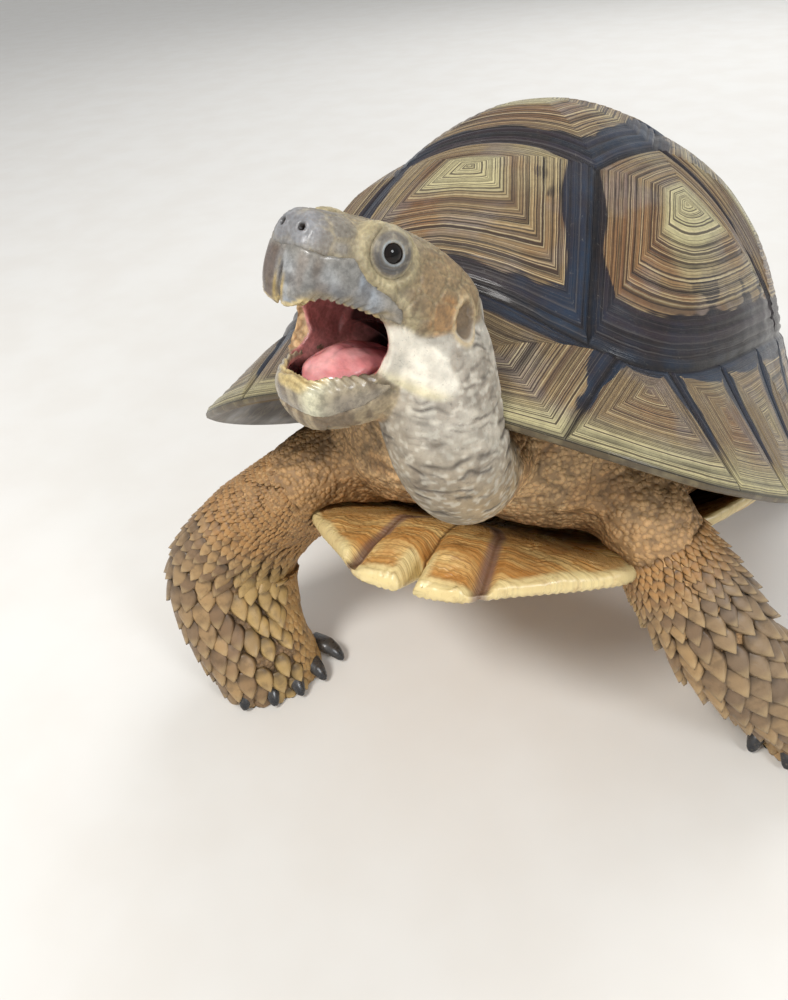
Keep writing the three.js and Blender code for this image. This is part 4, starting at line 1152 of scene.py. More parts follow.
def head_distances(grid, band):
    """The head's own solids on a grid."""
    parts = {
        "skull": cross_loft(HEAD_STATIONS),
        "palate": cross_loft(PALATE_STATIONS),
        "gullet": ellipsoid(GULLET_AT, GULLET_RADII),
        "jaw": cross_loft(JAW_STATIONS, from_jaw),
        "floor": cross_loft(MOUTH_FLOOR_STATIONS, from_jaw),
        "throat": cross_loft(THROAT_STATIONS),
        "corners": cross_loft(CORNER_STATIONS),
        "gape": ellipsoid(GAPE_AT, GAPE_RADII),
    }
    found = {name: grid.distance(surface, band) for name, surface in parts.items()}
    for side in SIDES.values():
        brow = grid.distance(ellipsoid(mirror(BROW_AT, side), np.array(BROW_RADII) - 0.5), band)
        found["skull"] = union(found["skull"], brow, 2.0)
    return found


def near(grid, middle, reach):
    """The slices of a grid within reach of a point, and the standing places of their points."""
    low = np.floor((np.array(middle) - reach) / grid.step).astype(int) - grid.first
    high = np.ceil((np.array(middle) + reach) / grid.step).astype(int) - grid.first
    ends = zip(low, high, grid.shape)
    window = tuple(slice(max(int(a), 0), min(int(b), size)) for a, b, size in ends)
    index = np.stack(np.meshgrid(*[np.arange(w.start, w.stop) for w in window], indexing="ij"), axis=-1)
    return window, (index + grid.first) * grid.step


def carve_eyes(grid, flesh):
    """A round hollow for each eye and its lids."""
    for side in SIDES.values():
        middle, facing = mirror(EYE_AT, side), mirror(EYE_FACING, side)
        window, places = near(grid, from_head(middle), 12)
        offset = to_head(places) - middle
        out = offset @ facing
        wide = np.linalg.norm(offset - out[..., None] * facing, axis=-1)
        local = without(flesh[window], np.maximum(wide - LID_REACH, 1.2 - out), 1.0)
        ball = np.linalg.norm(offset, axis=-1) - EYE_RADIUS - 0.1
        flesh[window] = without(local, ball, 0.3).astype(np.float32)


def lid_paint(points, wide, lower, crease):
    paint = Paint(len(points), "#7d7567")
    paint.over("#4a4a4c", bump(wide, 3.9, 0.95) * (0.35 + 0.6 * lower))
    paint.over("#8f979b", bump(wide, 2.75, 0.3) * 0.8)
    paint.over("#241f1d", smoothstep(2.48, 2.34, wide))
    paint.over("#9c9072", smoothstep(4.5, 5.3, wide) * 0.8)
    # Painted shade in the lids' creases.
    paint.over("#5d5549", np.clip(crease, 0, 1) * 0.45)
    paint.over("#a79d88", spots(points, 1.1, 36, 0.1, 0.6) * 0.4)
    return paint.values


def lid_rings(side):
    """Both lids as one ring of skin round the eyeball, with its values."""
    stations = np.column_stack([np.arange(len(LID_SECTION)), LID_SECTION])
    section = smooth_rows(stations, np.linspace(0, len(LID_SECTION) - 1, LID_ROWS))
    wide, out = section[:, :1], section[:, 1:]
    angle = round_angles(LID_COLUMNS)
    spin = np.column_stack([2.2 * np.cos(angle), 2.2 * np.sin(angle), np.full(LID_COLUMNS, side * 3.0)])
    sway = 0.28 * noise(spin, 1, 34)[None, :]
    lower = 0.5 - 0.5 * np.sin(angle)[None, :]
    crease = bump(wide + sway, 3.5, 0.15) * lower + bump(wide + sway, 4.2, 0.2)
    crease = crease + bump(wide - sway, 4.85, 0.18) * (0.4 + 0.6 * lower)
    out = out - 0.12 * crease
    squeeze = 1 - 0.06 * np.sin(angle) ** 2 * smoothstep(4, 2.4, wide)
    facing = mirror(EYE_FACING, side)
    ahead = np.cross([0, 0, 1], facing)
    ahead /= np.linalg.norm(ahead)
    up = np.cross(facing, ahead)
    spokes = np.cos(angle)[:, None] * ahead + np.sin(angle)[:, None] * up
    reach = (wide * squeeze)[..., None]
    points = (mirror(EYE_AT, side) + reach * spokes + out[..., None] * facing).reshape(-1, 3)
    points = from_head(points)
    points += 0.05 * noise(points, 0.9, 35)[:, None] * (from_head(facing) - from_head(np.zeros(3)))
    quads = strip_quads(LID_ROWS, LID_COLUMNS)
    if (point_normals(points, quads) @ (HEAD_TURN @ facing)).mean() < 0:
        quads = quads[:, ::-1]
    spread, below = np.repeat(wide.ravel(), LID_COLUMNS), np.tile(lower.ravel(), LID_ROWS)
    zeros = np.zeros(len(points))
    paint = lid_paint(points, spread, below, crease.ravel())
    return points, quads, NO_TRIS, {"paint": paint, "grain": zeros, "wet": zeros + 0.3, "fold_shade": zeros}


def carve_nostrils(grid, flesh):
    for side in SIDES.values():
        start, finish = (mirror(NOSTRIL_AT + offset, side) for offset in ([0, -1.5, 0.2], [0.4, 3.2, -0.8]))
        window, places = near(grid, from_head(start), 8)
        local = to_head(places)
        axis = finish - start
        t = np.clip((local - start) @ axis / (axis @ axis), 0, 1)
        tube = np.linalg.norm(local - start - t[..., None] * axis, axis=-1) - 0.75
        flesh[window] = without(flesh[window], tube, 0.4).astype(np.float32)


def beak_side(local, line, up):
    """Distance past the beak's border, negative on the beak's side."""
    y, z = np.array(line, float).T
    level = np.interp(local[..., 1], y, z)
    slope = np.interp(local[..., 1], (y[1:] + y[:-1]) / 2, np.diff(z) / np.diff(y))
    return up * (local[..., 2] - level) / np.sqrt(1 + np.clip(slope, -3, 3) ** 2)


def build_head():
    """The fine skin over the head and neck, and the window of the two halves of the beak."""
    grid = FINE
    parts = head_distances(grid, HEAD_BAND)
    skull, jaw_body = blurred(parts["skull"], 1.2), blurred(parts["jaw"], 1.2)
    neck = grid.distance(NECK.loft(60, 64), 8)
    trunk = blurred(grid.distance(node_surface("trunk"), 8), 3.5) + 0.6
    cavity = union(union(parts["gullet"], parts["floor"], 1), parts["palate"], 1)
    head = without(skull, union(parts["palate"], parts["gullet"], 1.0), 0.7)
    jaw = without(jaw_body, union(parts["floor"], parts["gullet"], 1.0), 0.7)
    corners = without(without(parts["corners"], parts["gape"], 0.4), cavity, 0.4)
    behind = without(union(parts["throat"] + 0.3, neck, 5), cavity, 0.5)
    body = union(trunk, behind, 9)
    for limb in FORELEGS.values():
        body = union(body, grid.distance(limb.loft(90, 64), 10), 8)
    flesh = union(union(head, body, 3.0), jaw, 1.0)
    carve_nostrils(grid, flesh)
    carve_eyes(grid, flesh)
    window, places = near(grid, from_head(np.array([0, -12, -6])), 34)
    in_head = to_head(places)
    flat_places = places.reshape(-1, 3)
    wander = (0.7 * noise(flat_places, 5, 37) + 0.25 * noise(flat_places, 1.6, 38)).reshape(places.shape[:-1])
    borders = {
        "upper": beak_side(in_head, BEAK_LINE, 1) + wander,
        "lower": beak_side(jaw_from_head(in_head), LOWER_BEAK_LINE, -1),
    }
    outers = {"upper": skull[window], "lower": jaw_body[window]}
    beaks = {}
    for name, body in (("upper", head[window]), ("lower", jaw[window])):
        horn = np.maximum(body - BEAK_PROUD, -(outers[name] + BEAK_DEPTH))
        if name == "lower":
            horn = np.maximum(horn, -head[window] + 0.2)
        beaks[name] = -union(-horn, -borders[name] - 0.25, 0.5)
    cleft = np.maximum(cleft_room(in_head), -(outers["upper"] + CLEFT_DEPTH))
    beaks["upper"] = without(without(beaks["upper"], cleft, 0.4), nostril_room(in_head))
    for name, border in borders.items():
        outer = outers[name]
        sunk = smoothstep(0.2, 1.2, -border) * smoothstep(-BEAK_DEPTH - 0.2, -BEAK_DEPTH + 0.6, outer)
        sunk *= smoothstep(1.2, 0.5, outer)
        flesh[window] += (0.7 * sunk).astype(np.float32)
    flesh = union(flesh, corners, 1.0)
    return flesh, {"skull": skull, "jaw": jaw_body, "cavity": cavity}, window, beaks


def cleft_room(local):
    """The narrow notch up the front of the upper beak."""
    share = np.clip((local[..., 2] - CLEFT_TIP) / (CLEFT_MOUTH - CLEFT_TIP), -0.2, 1.2)
    half = CLEFT_HALF * np.clip(share, 0, 1) ** 0.8 + 0.1
    across = np.abs(local[..., 0] - CLEFT_MIDDLE) - half
    return np.maximum(np.maximum(across, local[..., 1] + 22), -share * 8)


def nostril_room(local):
    """How far places are from a ball of room about each nostril."""
    away = [np.linalg.norm(local - mirror(NOSTRIL_AT, side), axis=-1) for side in SIDES.values()]
    return np.minimum(np.minimum(*away) - 1.6, 9.0)


def largest_piece(points, quads):
    """The part of a surface that hangs together and has the most points."""
    label = np.arange(len(points))
    for _ in range(400):
        lowest = label[quads].min(axis=1)
        fresh = label.copy()
        np.minimum.at(fresh, quads.ravel(), np.repeat(lowest, 4))
        fresh = fresh[fresh]
        if np.array_equal(fresh, label):
            break
        label = fresh
    names, counts = np.unique(label, return_counts=True)
    kept = label == names[np.argmax(counts)]
    index = np.cumsum(kept) - 1
    return points[kept], index[quads[kept[quads[:, 0]]]]


def build_skin():
    flesh, parts, window, beaks = build_head()
    pieces = [finish_skin(*largest_piece(*FINE.surface(flesh)), parts)]
    pieces.append(finish_skin(*largest_piece(*COARSE.surface(body_distances())), None))
    pieces += [lid_rings(side) for side in SIDES.values()]
    points, quads, _, values = joined(pieces)
    item = new_mesh_object("skin", points, quads, values=values)
    nodes = ["trunk", "neck", "head", "jaw", "throat", "tail"]
    nodes += [f"{kind}leg_{side}" for kind in ("fore", "hind") for side in SIDES]
    dress(item, skin_material(), "skin", *nodes)
    build_beaks(window, beaks, parts)


def inside_fine(grid):
    """How far each point of a grid is inside the fine grid's block."""
    low = FINE.first * FINE.step
    high = low + np.array(FINE.shape) * FINE.step
    x, y, z = (np.minimum(v - low[i], high[i] - v) for i, v in enumerate(grid.axes()))
    return np.minimum(np.minimum(x, y), z)


def body_distances():
    """The whole skin on the coarse grid, ending where the fine one begins."""
    grid, band = COARSE, 11
    trunk = blurred(grid.distance(node_surface("trunk"), band), 1.4) + 0.6
    body = union(trunk, grid.distance(NECK.loft(60, 64), band), 9)
    for side in SIDES:
        body = union(body, grid.distance(FORELEGS[side].loft(90, 64), band), 8)
        body = union(body, grid.distance(HINDLEGS[side].loft(60, 64), band), 9)
    body = union(body, grid.distance(TAIL.loft(50, 40), band), 6)
    for shell in ("carapace", "plastron"):
        body = without(body, grid.distance(node_surface(shell), 4) - 0.4)
    inside = inside_fine(grid)
    body = body + (1.1 * smoothstep(0, 5, inside) + 30 * smoothstep(9, 20, inside)).astype(np.float32)
    *_, z = grid.axes()
    return np.maximum(body, 0.02 - z)


# ---- Skin: folds, head scales and colours ----


def finish_skin(points, quads, parts):
    """A piece of skin with its small relief and its colours. Only the fine piece has the head's parts."""
    head = to_head(points)
    on_head, mouth, outer = np.zeros((3, len(points)))
    if parts:
        outer = np.minimum(FINE.sample(parts["skull"], points), FINE.sample(parts["jaw"], points))
        on_head = smoothstep(1.6, 0.4, outer) * smoothstep(26, 18, head[:, 1])
        mouth = smoothstep(0.9, 0.3, FINE.sample(parts["cavity"], points)) * smoothstep(27, 23, head[:, 1])
    relief = body_relief(points, head, on_head, mouth)
    if parts:
        head_relief(relief, head, on_head, mouth)
    places = points + point_normals(points, quads) * relief["lift"][:, None]
    places[:, 2] = np.where(points[:, 2] < 0.6, points[:, 2], places[:, 2])
    return places, quads, NO_TRIS, skin_values(points, head, on_head, mouth, outer, relief)


def eye_frame(head):
    """Distance from the nearer eye's axis, how far out along it, the angle round it, and mirrored places."""
    side = np.where(head[:, 0] < 0, -1.0, 1.0)
    flipped = head * np.column_stack([side, np.ones_like(side), np.ones_like(side)])
    offset = flipped - EYE_AT
    out = offset @ EYE_FACING
    wide = np.linalg.norm(offset - out[:, None] * EYE_FACING, axis=1)
    return wide, out, np.arctan2(offset[:, 2], offset[:, 1]), flipped


def away_from(points, middle, stretch=(1, 1, 1)):
    return np.linalg.norm((points - np.array(middle)) / stretch, axis=1)


def neck_share(points):
    """How far each point is on the neck's bare grey skin."""
    low = smoothstep(30, 22, away_from(points, [9, -119, 168], [1, 1, 1.25]))
    high = smoothstep(34, 22, away_from(points, [-2, -112, 188]))
    return np.maximum(low, high) * smoothstep(137, 146, points[:, 2] + 3 * layered(points, 14, 51))


def neck_wrinkles(points, gap, seed):
    """Broken rings of thin wrinkles round the neck, a gap apart."""
    level = points[:, 2] + 0.25 * points[:, 1]
    level = level + 5 * noise(points, 13, seed) + 1.8 * noise(points, 4.5, seed + 1)
    line = np.abs(np.cos(np.pi * level / gap)) ** 8
    return line * spots(points * [1, 1, 2], 5, seed + 2, -0.15, 0.4)


def body_relief(points, head, on_head, mouth):
    """Folds and wrinkles: how far the skin stands out, and where each kind of mark is."""
    relief = {key: np.zeros(len(points)) for key in ("edge", "number", "crack")}
    moved = points + 5 * drift(points, 17, (21, 22, 23))
    loose = smoothstep(0.2, 0.9, 1 - on_head) * (1 - mouth) * (1 - 0.8 * cheek_share(head))
    folds = ridged(3.2 * noise(moved * [0.35, 0.35, 1], 6.5, 31))
    strands = ridged(3.0 * noise(moved * [1, 1, 0.3], 4.0, 32))
    rough = noise(points, 3.2, 33)
    neck = neck_share(points) * loose
    # Where the folds lie; the colour is darkened there as painted shade.
    relief["fold_shade"] = loose * (1 - 0.7 * neck) * np.maximum(folds, 0.8 * strands)
    coarse, fine = neck_wrinkles(points, 4.4, 24), neck_wrinkles(points, 2.3, 27)
    relief["wrinkle"] = np.maximum(coarse, 0.6 * fine) * neck
    relief["lift"] = -(loose * (1 - 0.55 * neck) * (0.55 * folds + 0.4 * strands - 0.15 * rough))
    relief["lift"] -= 0.2 * relief["wrinkle"]
    relief["ear"] = np.full(len(points), 9.0)
    return relief


def head_relief(relief, head, on_head, mouth):
    wide, out, angle, flipped = eye_frame(head)
    skin = on_head * (1 - mouth)
    lift = relief["lift"]
    # Plates of the head, larger on its top and temples than by the eye
    stretched = flipped + 0.8 * drift(head, 4, (41, 42, 43))
    first, second, relief["number"] = cells(stretched, 6.0, 44)
    edge = smoothstep(0.9, 0.15, second - first)
    plates = skin * smoothstep(5.6, 7.5, wide)
    snout = smoothstep(-14, -20, head[:, 1])
    lift += plates * (0.22 - 0.42 * edge) * (1 - 0.6 * snout)
    relief["edge"] = plates * edge
    first, second, _ = cells(stretched, 1.7, 45)
    relief["crack"] = plates * smoothstep(0.5, 0.1, second - first)
    lift -= 0.1 * relief["crack"]
    # Rings of scales round the eye
    beads = np.abs(np.cos(angle * 7.5 + 0.6)) ** 0.5
    lift += (out > -3) * skin * 0.7 * bump(wide, 7.2, 1.15) * (0.55 + 0.45 * beads)
    # Raised rims round the nostrils
    lift += skin * 0.35 * bump(away_from(flipped, NOSTRIL_AT), 1.5, 0.6)
    # Ear
    ear = np.hypot((flipped[:, 1] - EAR_AT[1]) / 2.9, (flipped[:, 2] - EAR_AT[2]) / 4.6)
    on_side = smoothstep(12, 15, flipped[:, 0])
    relief["ear"] = ear + 9 * (1 - on_side)
    lift += on_side * (0.5 * bump(ear, 1.15, 0.22) - 0.45 * smoothstep(1.0, 0.7, ear))
    # Ridges of the palate
    lift += mouth * 0.25 * np.cos(head[:, 0] * 2.2) * smoothstep(2, -6, head[:, 1])


def cheek_share(head):
    """The bare membrane behind the corner of the mouth."""
    beside = np.abs(head[:, 0]) - 16.5
    slope = head[:, 2] + 16.0 + 0.25 * (head[:, 1] - 4)
    cheek = np.hypot(np.hypot(0.6 * beside, (head[:, 1] - 4) / 1.35), slope / 0.75)
    return smoothstep(10, 7.6, cheek + 0.9 * noise(head, 4, 67))


def paint_body(paint, points):
    """Orange-brown, darker low on the legs."""
    paint.over("#96703f", smoothstep(-0.1, 0.6, layered(points, 14, 51)) * 0.5)
    paint.over("#66523a", 0.75 * smoothstep(92, 55, points[:, 2]))
    chest = bump(points[:, 0], 0, 62) * smoothstep(95, 122, points[:, 2]) * smoothstep(-20, -50, points[:, 1])
    paint.over("#d6b384", 0.9 * chest)
    paint.over("#ad7840", 0.45 * chest * spots(points, 9, 57, 0.1, 0.5))


def paint_neck(paint, points, neck, wrinkle):
    """Pale grey, with painted shade in its wrinkles and a painted sheen on its near side."""
    paint.over("#8a7e6b", 0.95 * neck)
    paint.over("#a88f68", neck * smoothstep(12, 24, points[:, 0]) * 0.6)
    # Painted sheen: a pale grey patch on the neck's near side.
    paint.over("#b9b6ac", neck * smoothstep(44, 20, away_from(points, [26, -118, 196])) * 0.6)
    paint.over("#75695a", neck * spots(points * [1, 1, 0.5], 5, 58) * 0.5)
    paint.over("#cbc4b4", neck * spots(points * [1, 1, 1.6], 1.6, 59, 0.1, 0.5) * 0.5)
    # Painted shade: the wrinkles' creases darkened.
    paint.over("#40372f", wrinkle * 0.85)
    paint.over("#6f5f4a", neck * smoothstep(0.3, 0.6, layered(points, 3.0, 55)) * 0.3)


def paint_head(paint, head, skin, outer, relief):
    """Grey-brown plates, grey ahead, with an orange patch by the ear and pale rings round the eyes."""
    wide, out, _, flipped = eye_frame(head)
    paint.over("#857963", skin)
    paint.over("#a09173", skin * spots(head, 8, 60) * 0.5)
    paint.over("#6b5c45", skin * spots(head, 6, 61) * 0.5)
    ahead = smoothstep(-15, -23, head[:, 1])
    paint.over("#827d74", skin * ahead * 0.9)
    paint.over("#6d655b", skin * ahead * spots(head, 3.2, 62) * 0.5)
    paint.over("#917751", skin * smoothstep(15, 8, away_from(flipped, [16, 9, 3], [1, 1.1, 1])) * 0.75)
    patch = skin * smoothstep(5.5, 3.2, away_from(flipped, [18, 8.5, -3.5], [1, 1, 1.2]))
    paint.over("#bb8549", patch * (0.35 + 0.4 * relief["number"]))
    paint.over("#b3a37d", relief["edge"] * 0.4)
    paint.over("#5d5140", relief["crack"] * 0.35)
    near_eye = (out > -3) * skin
    paint.over("#b0a27c", 0.75 * near_eye * bump(wide, 7.2, 1.7))
    paint.over("#8b7f68", near_eye * smoothstep(5.9, 5.4, wide) * 0.6)
    paint.over("#bdb08a", skin * bump(beak_side(head, BEAK_LINE, 1), 1.2, 0.9) * 0.5 * (1 - ahead))
    nostril = away_from(flipped, NOSTRIL_AT)
    paint.over("#85868a", skin * smoothstep(7.5, 2.4, nostril) * 0.8)
    # Painted shade: the nostril openings and the hollows inside them near black.
    paint.over("#1d1716", smoothstep(1.15, 0.85, nostril))
    inside_nose = smoothstep(5, 4, away_from(flipped, NOSTRIL_AT + [0, 3, 0]))
    paint.over("#1d1716", inside_nose * smoothstep(-0.6, -1.0, outer))
    paint.over("#6d5b45", smoothstep(1.05, 0.85, relief["ear"]) * 0.9)
    paint.over("#b09c78", bump(relief["ear"], 1.2, 0.15) * 0.8)
    return nostril


def paint_jaw(paint, jaw, skin):
    """Cream with brown uprights."""
    on_jaw = skin * smoothstep(-15, -17, jaw[:, 2]) * smoothstep(16, 10, jaw[:, 1])
    paint.over("#a8977a", on_jaw * 0.85)
    paint.over("#5f4e3c", on_jaw * spots(jaw * [1, 1, 0.25], 2.6, 65) * 0.75)
    paint.over("#c4935a", on_jaw * spots(jaw, 6, 66, -0.2, 0.4) * smoothstep(-9, 1, jaw[:, 1]) * 0.7)


def paint_mouth(paint, head, mouth):
    """Pink, with painted shade towards the gullet, and paler on the far side."""
    paint.over("#b8605e", mouth)
    paint.over("#d88f88", mouth * spots(head, 3.5, 71, -0.2, 0.5) * 0.6)
    paint.over("#a04648", mouth * spots(head, 2.2, 73, 0.1, 0.5) * 0.5)
    rear = head[:, 1] - 0.6 * (head[:, 2] + 12) + 1.5 * noise(head, 3, 72)
    back = mouth * smoothstep(-6, -1, rear) * smoothstep(13, 9, np.abs(head[:, 0]))
    # Painted shade: the back of the mouth, towards the gullet, nearly black.
    paint.over("#200a0d", back * 0.95)
    paint.over("#dc9d96", mouth * smoothstep(-9, -12, head[:, 0]) * 0.7)


def skin_values(points, head, on_head, mouth, outer, relief):
    """What the skin's material reads: colour, darkened by painted shade in the folds, share of granules,
    wetness and folds.
    """
    paint = Paint(len(points), "#ba905f")
    neck = neck_share(points)
    skin = on_head * (1 - mouth)
    cheek = cheek_share(head) * (1 - mouth)
    paint_body(paint, points)
    paint_neck(paint, points, neck, relief["wrinkle"])
    nostril = paint_head(paint, head, skin, outer, relief)
    paint_jaw(paint, to_jaw(points), skin)
    paint.over("#d3ccbc", cheek * 0.9)
    paint.over("#c4b788", cheek * smoothstep(-18.5, -22, head[:, 2]) * 0.6)
    paint_mouth(paint, head, mouth)
    # Painted shade: the colour darkened in the skin's folds.
    fold_shade = np.clip(relief["fold_shade"], 0, 1) * (1 - mouth)
    paint.values *= (1 - 0.55 * fold_shade**3)[:, None]
    grain = (1 - mouth) * (1 - 0.96 * skin) * (1 - cheek) * (1 - 0.85 * neck)
    wet = np.maximum(mouth, 0.32 * skin)
    wet = np.maximum(wet, skin * smoothstep(6, 3, nostril) * 0.5)
    return {"paint": paint.values, "grain": grain, "wet": wet, "fold_shade": fold_shade}


def skin_material():
    s = Shader("skin_scales", roughness=0.6, Subsurface_Weight=0.05, Subsurface_Scale=0.002)
    s.fill(s.surface, Subsurface_Radius=(1.0, 0.4, 0.25))
    grain, wet = s.stored("grain"), s.stored("wet")
    gap = s.range(s.cells(2.0), 0.7, 0.25)
    shade = s.toned(s.stored("paint", "Color"), s.uneven(4.5, 4, 0.8, 1.2))
    veins = s.range(s.noise(1.1, 5, 0.75, distortion=2.0), 0.56, 0.68, 0.0, 0.5)
    shade = s.mix(s.times(veins, s.range(wet, 0.5, 0.3)), shade, s.mix(0.75, shade, "#3a3028"))
    cracks = s.times(s.range(s.cells(1.0), 0.75, 0.35), s.range(wet, 0.12, 0.3, 0.0, 0.3))
    shade = s.mix(cracks, shade, s.mix(0.7, shade, "#3a3028"))
    between = s.times(grain, s.range(gap, 0.5, 0.0, 0.0, 0.6))
    base = s.mix(between, shade, s.mix(0.6, shade, "#33261b"))
    height = s.relief(gap, 0.55, s.times(grain, 0.9))
    fine = s.relief(s.noise(0.8, 3), 0.1, 0.7, after=height)
    return s.finish(base, s.range(wet, 0.0, 1.0, 0.62, 0.1), fine)


# ---- Beaks, tongue, eyes ----

TOOTH_GAP, TOOTH_HEIGHT = 1.5, 0.65
TOP, BOTTOM = 2, 3  # columns of the stations


def level_at(stations, local, column):
    """The top or bottom of a lofted jaw at each point's place along it."""
    stations = np.array(stations)
    return np.interp(local[:, 1], stations[:, 0], stations[:, column])


def upper_beak_paint(local, streak):
    """The upper beak's colours, and how near its cutting edge each point is."""
    front = smoothstep(-26, -28, local[:, 1])
    rise = local[:, 2] - level_at(HEAD_STATIONS, local, BOTTOM) - 1.5 + 4 * front
    cleft = local[:, 0] - CLEFT_MIDDLE
    paint = Paint(len(local), "#807e79")
    # Pale grey and bluish mottles: partly the horn's own mottling, partly painted wet sheen.
    paint.over("#a3a5a6", spots(local, 6, 82, 0.0, 0.55) * 0.6)
    paint.over("#8b97a6", spots(local, 7, 85, 0.1, 0.6) * 0.5)
    paint.over("#595552", spots(local, 3.4, 84, 0.05, 0.5) * 0.6)
    paint.over("#6e5f50", smoothstep(0.1, 0.6, streak) * 0.55)
    paint.over("#8d8270", smoothstep(-13, -4, local[:, 1]) * 0.85)
    # Painted shade: the far half of the beak, away from the light, darker brown.
    paint.over("#54402f", smoothstep(0.6, -2.5, local[:, 0]) * 0.85)
    paint.over("#a58d55", bump(np.abs(cleft), 1.4, 0.6) * smoothstep(-5, -9, local[:, 2]) * front)
    # Painted shade: a dark line down the middle of the notch.
    paint.over("#3a2c22", bump(cleft, 0, 0.6) * smoothstep(-3, -6, local[:, 2]) * front)
    paint.over("#9a8862", smoothstep(4.0, 2.0, rise) * smoothstep(-0.2, 0.4, streak) * 0.5)
    paint.over("#7f7a71", smoothstep(-2.6, -0.4, beak_side(local, BEAK_LINE, 1)) * 0.8)
    return paint, smoothstep(1.5, 0.5, rise)


def lower_beak_paint(local, streak):
    rise = level_at(JAW_STATIONS, local, TOP) - local[:, 2]
    paint = Paint(len(local), "#988b73")
    paint.over("#5c4d3c", smoothstep(-0.1, 0.45, streak) * 0.75)
    paint.over("#7b7267", smoothstep(3, 7, rise) * 0.6)
    # Painted highlight: a pale patch on the near side of the beak's front.
    paint.over("#d3d0b2", bump(local[:, 0], 7, 3) * smoothstep(-12, -18, local[:, 1]) * 0.7)
    return paint, smoothstep(1.8, 0.4, rise)


# For each half of the beak: its frame, the way its cutting edge faces, the solid it covers, and its colours
BEAKS = {
    "upper": (to_head, -HEAD_TURN[:, 2], "skull", upper_beak_paint),
    "lower": (to_jaw, HEAD_TURN @ JAW_TURN[:, 2], "jaw", lower_beak_paint),
}


def build_beaks(window, beaks, parts):
    for name, (to_own, edge_faces, covered, colours) in BEAKS.items():
        points, quads = largest_piece(*FINE.part(window).surface(beaks[name].astype(np.float32)))
        normals = point_normals(points, quads)
        local = to_own(points)
        along = np.hypot(local[:, 1], 0.8 * local[:, 0])
        tooth = 0.5 + 0.5 * np.cos(2 * np.pi * along / TOOTH_GAP + 2.5 * noise(local, 4, 83))
        facing = smoothstep(0.3, 0.8, normals @ edge_faces)
        places = points + normals * (facing * TOOTH_HEIGHT * (tooth - 0.5))[:, None]
        paint, edge = colours(local, noise(local * [1, 1, 0.22], 2.4, 81))
        paint.over("#cdb67c", edge * 0.8)
        paint.over("#7c6236", edge * facing * smoothstep(0.6, 0.1, tooth) * 0.7)
        paint.over("#c77b74", smoothstep(-1.15, -1.5, FINE.sample(parts[covered], points)) * 0.8)
        item = new_mesh_object(f"beak_{name}_horn", places, quads, values={"paint": paint.values})
        dress(item, horn_material(f"beak_{name}"), "beak", f"beak_{name}")


def horn_material(name):
    s = Shader(name + "_horn", roughness=0.3, Coat_Weight=0.3, Coat_Roughness=0.12)
    base = s.toned(s.stored("paint", "Color"), s.range(s.noise(1.8, 5, 0.65), 0.35, 0.65, 0.72, 1.2))
    return s.finish(base, s.uneven(5, 3, 0.2, 0.38), s.relief(s.noise(1.6, 4), 0.14, 0.6))


def tongue_material():
    s = Shader("tongue", roughness=0.22, Subsurface_Weight=0.25, Subsurface_Scale=0.002)
    s.fill(s.surface, Coat_Weight=0.5, Coat_Roughness=0.1)
    base = s.toned(s.stored("paint", "Color"), s.uneven(2.5, 3, 0.88, 1.1))
    return s.finish(base, normal=s.relief(s.noise(0.9, 3), 0.15, 0.7))


def build_tongue():
    points, quads, tris = cross_loft(TONGUE_STATIONS, np.array, 90, 96)
    y, z = points[:, 1], points[:, 2]
    top = smoothstep(-12, -10.5, z)
    groove = -0.5 * bump(points[:, 0], 0, 1.3) * smoothstep(-14, -9, y)
    bumps = 0.22 * noise(points, 1.6, 91) + 0.3 * noise(points, 4.5, 92)
    raised = 1.6 * bump(points[:, 0], 0, 5) * bump(y, -6, 5)
    points[:, 2] += top * (groove + bumps + raised)
    paint = Paint(len(points), "#cf8584")
    # Painted highlights: pale patches on the tongue's top.
    paint.over("#e3a8a4", top * spots(points, 4, 93, -0.3, 0.5) * 0.7)
    paint.over("#b8646a", smoothstep(-4, 6, y) * 0.6)
    values = {"paint": paint.values}
    item = new_mesh_object("tongue_flesh", from_jaw(points), quads, tris, values, flip=True)
    dress(item, tongue_material(), "tongue", "tongue")


def eye_material(name):
    s = Shader(f"eye_{name}", roughness=0.03, Specular_IOR_Level=0.3)
    facing = s.stored("facing")
    base = s.over("#120b08", "#040303", facing, 0.93, 0.97)
    base = s.over(base, "#0b0a0a", facing, 0.78, 0.7)
    return s.finish(s.over(base, "#2a1a10", s.noise(0.5, 2), 0.5, 0.8, 0.3))


def build_eyes():
    for name, side in SIDES.items():
        points, quads, tris = ellipsoid([0, 0, 0], [EYE_RADIUS] * 3, np.array, 48, 64)
        values = {"facing": points / EYE_RADIUS @ mirror(EYE_FACING, side)}
        places = from_head(points + mirror(EYE_AT, side))
        item = new_mesh_object(f"eyeball_{name}", places, quads, tris, values)
        dress(item, eye_material(name), "eye", f"eye_{name}")


# ---- Claws ----

FOREFEET = {"right": ([-98, -99], 58), "left": ([132, -38], 14)}
HINDFEET = {"right": ([-107, 98], -12), "left": ([105, 135], 18)}
FORECLAW = dict(count=5, reach=19, span=18, fan=26, length=10, radius=4.4, level=6.4)
HINDCLAW = dict(count=4, reach=18, span=14, fan=20, length=12, radius=4.4, level=6)
CLAW_ROOT, CLAW_ROW_CURVE, CLAW_FLATNESS, CLAW_SLIMNESS = 7, 6, 0.8, 0.96
CLAW_ROWS, CLAW_COLUMNS = 40, 32
CLAW_STATIONS = [[0, 0, 1], [0.45, 0.2, 1], [0.75, -0.2, 0.8], [0.95, -0.85, 0.45], [1, -1.05, 0.2]]


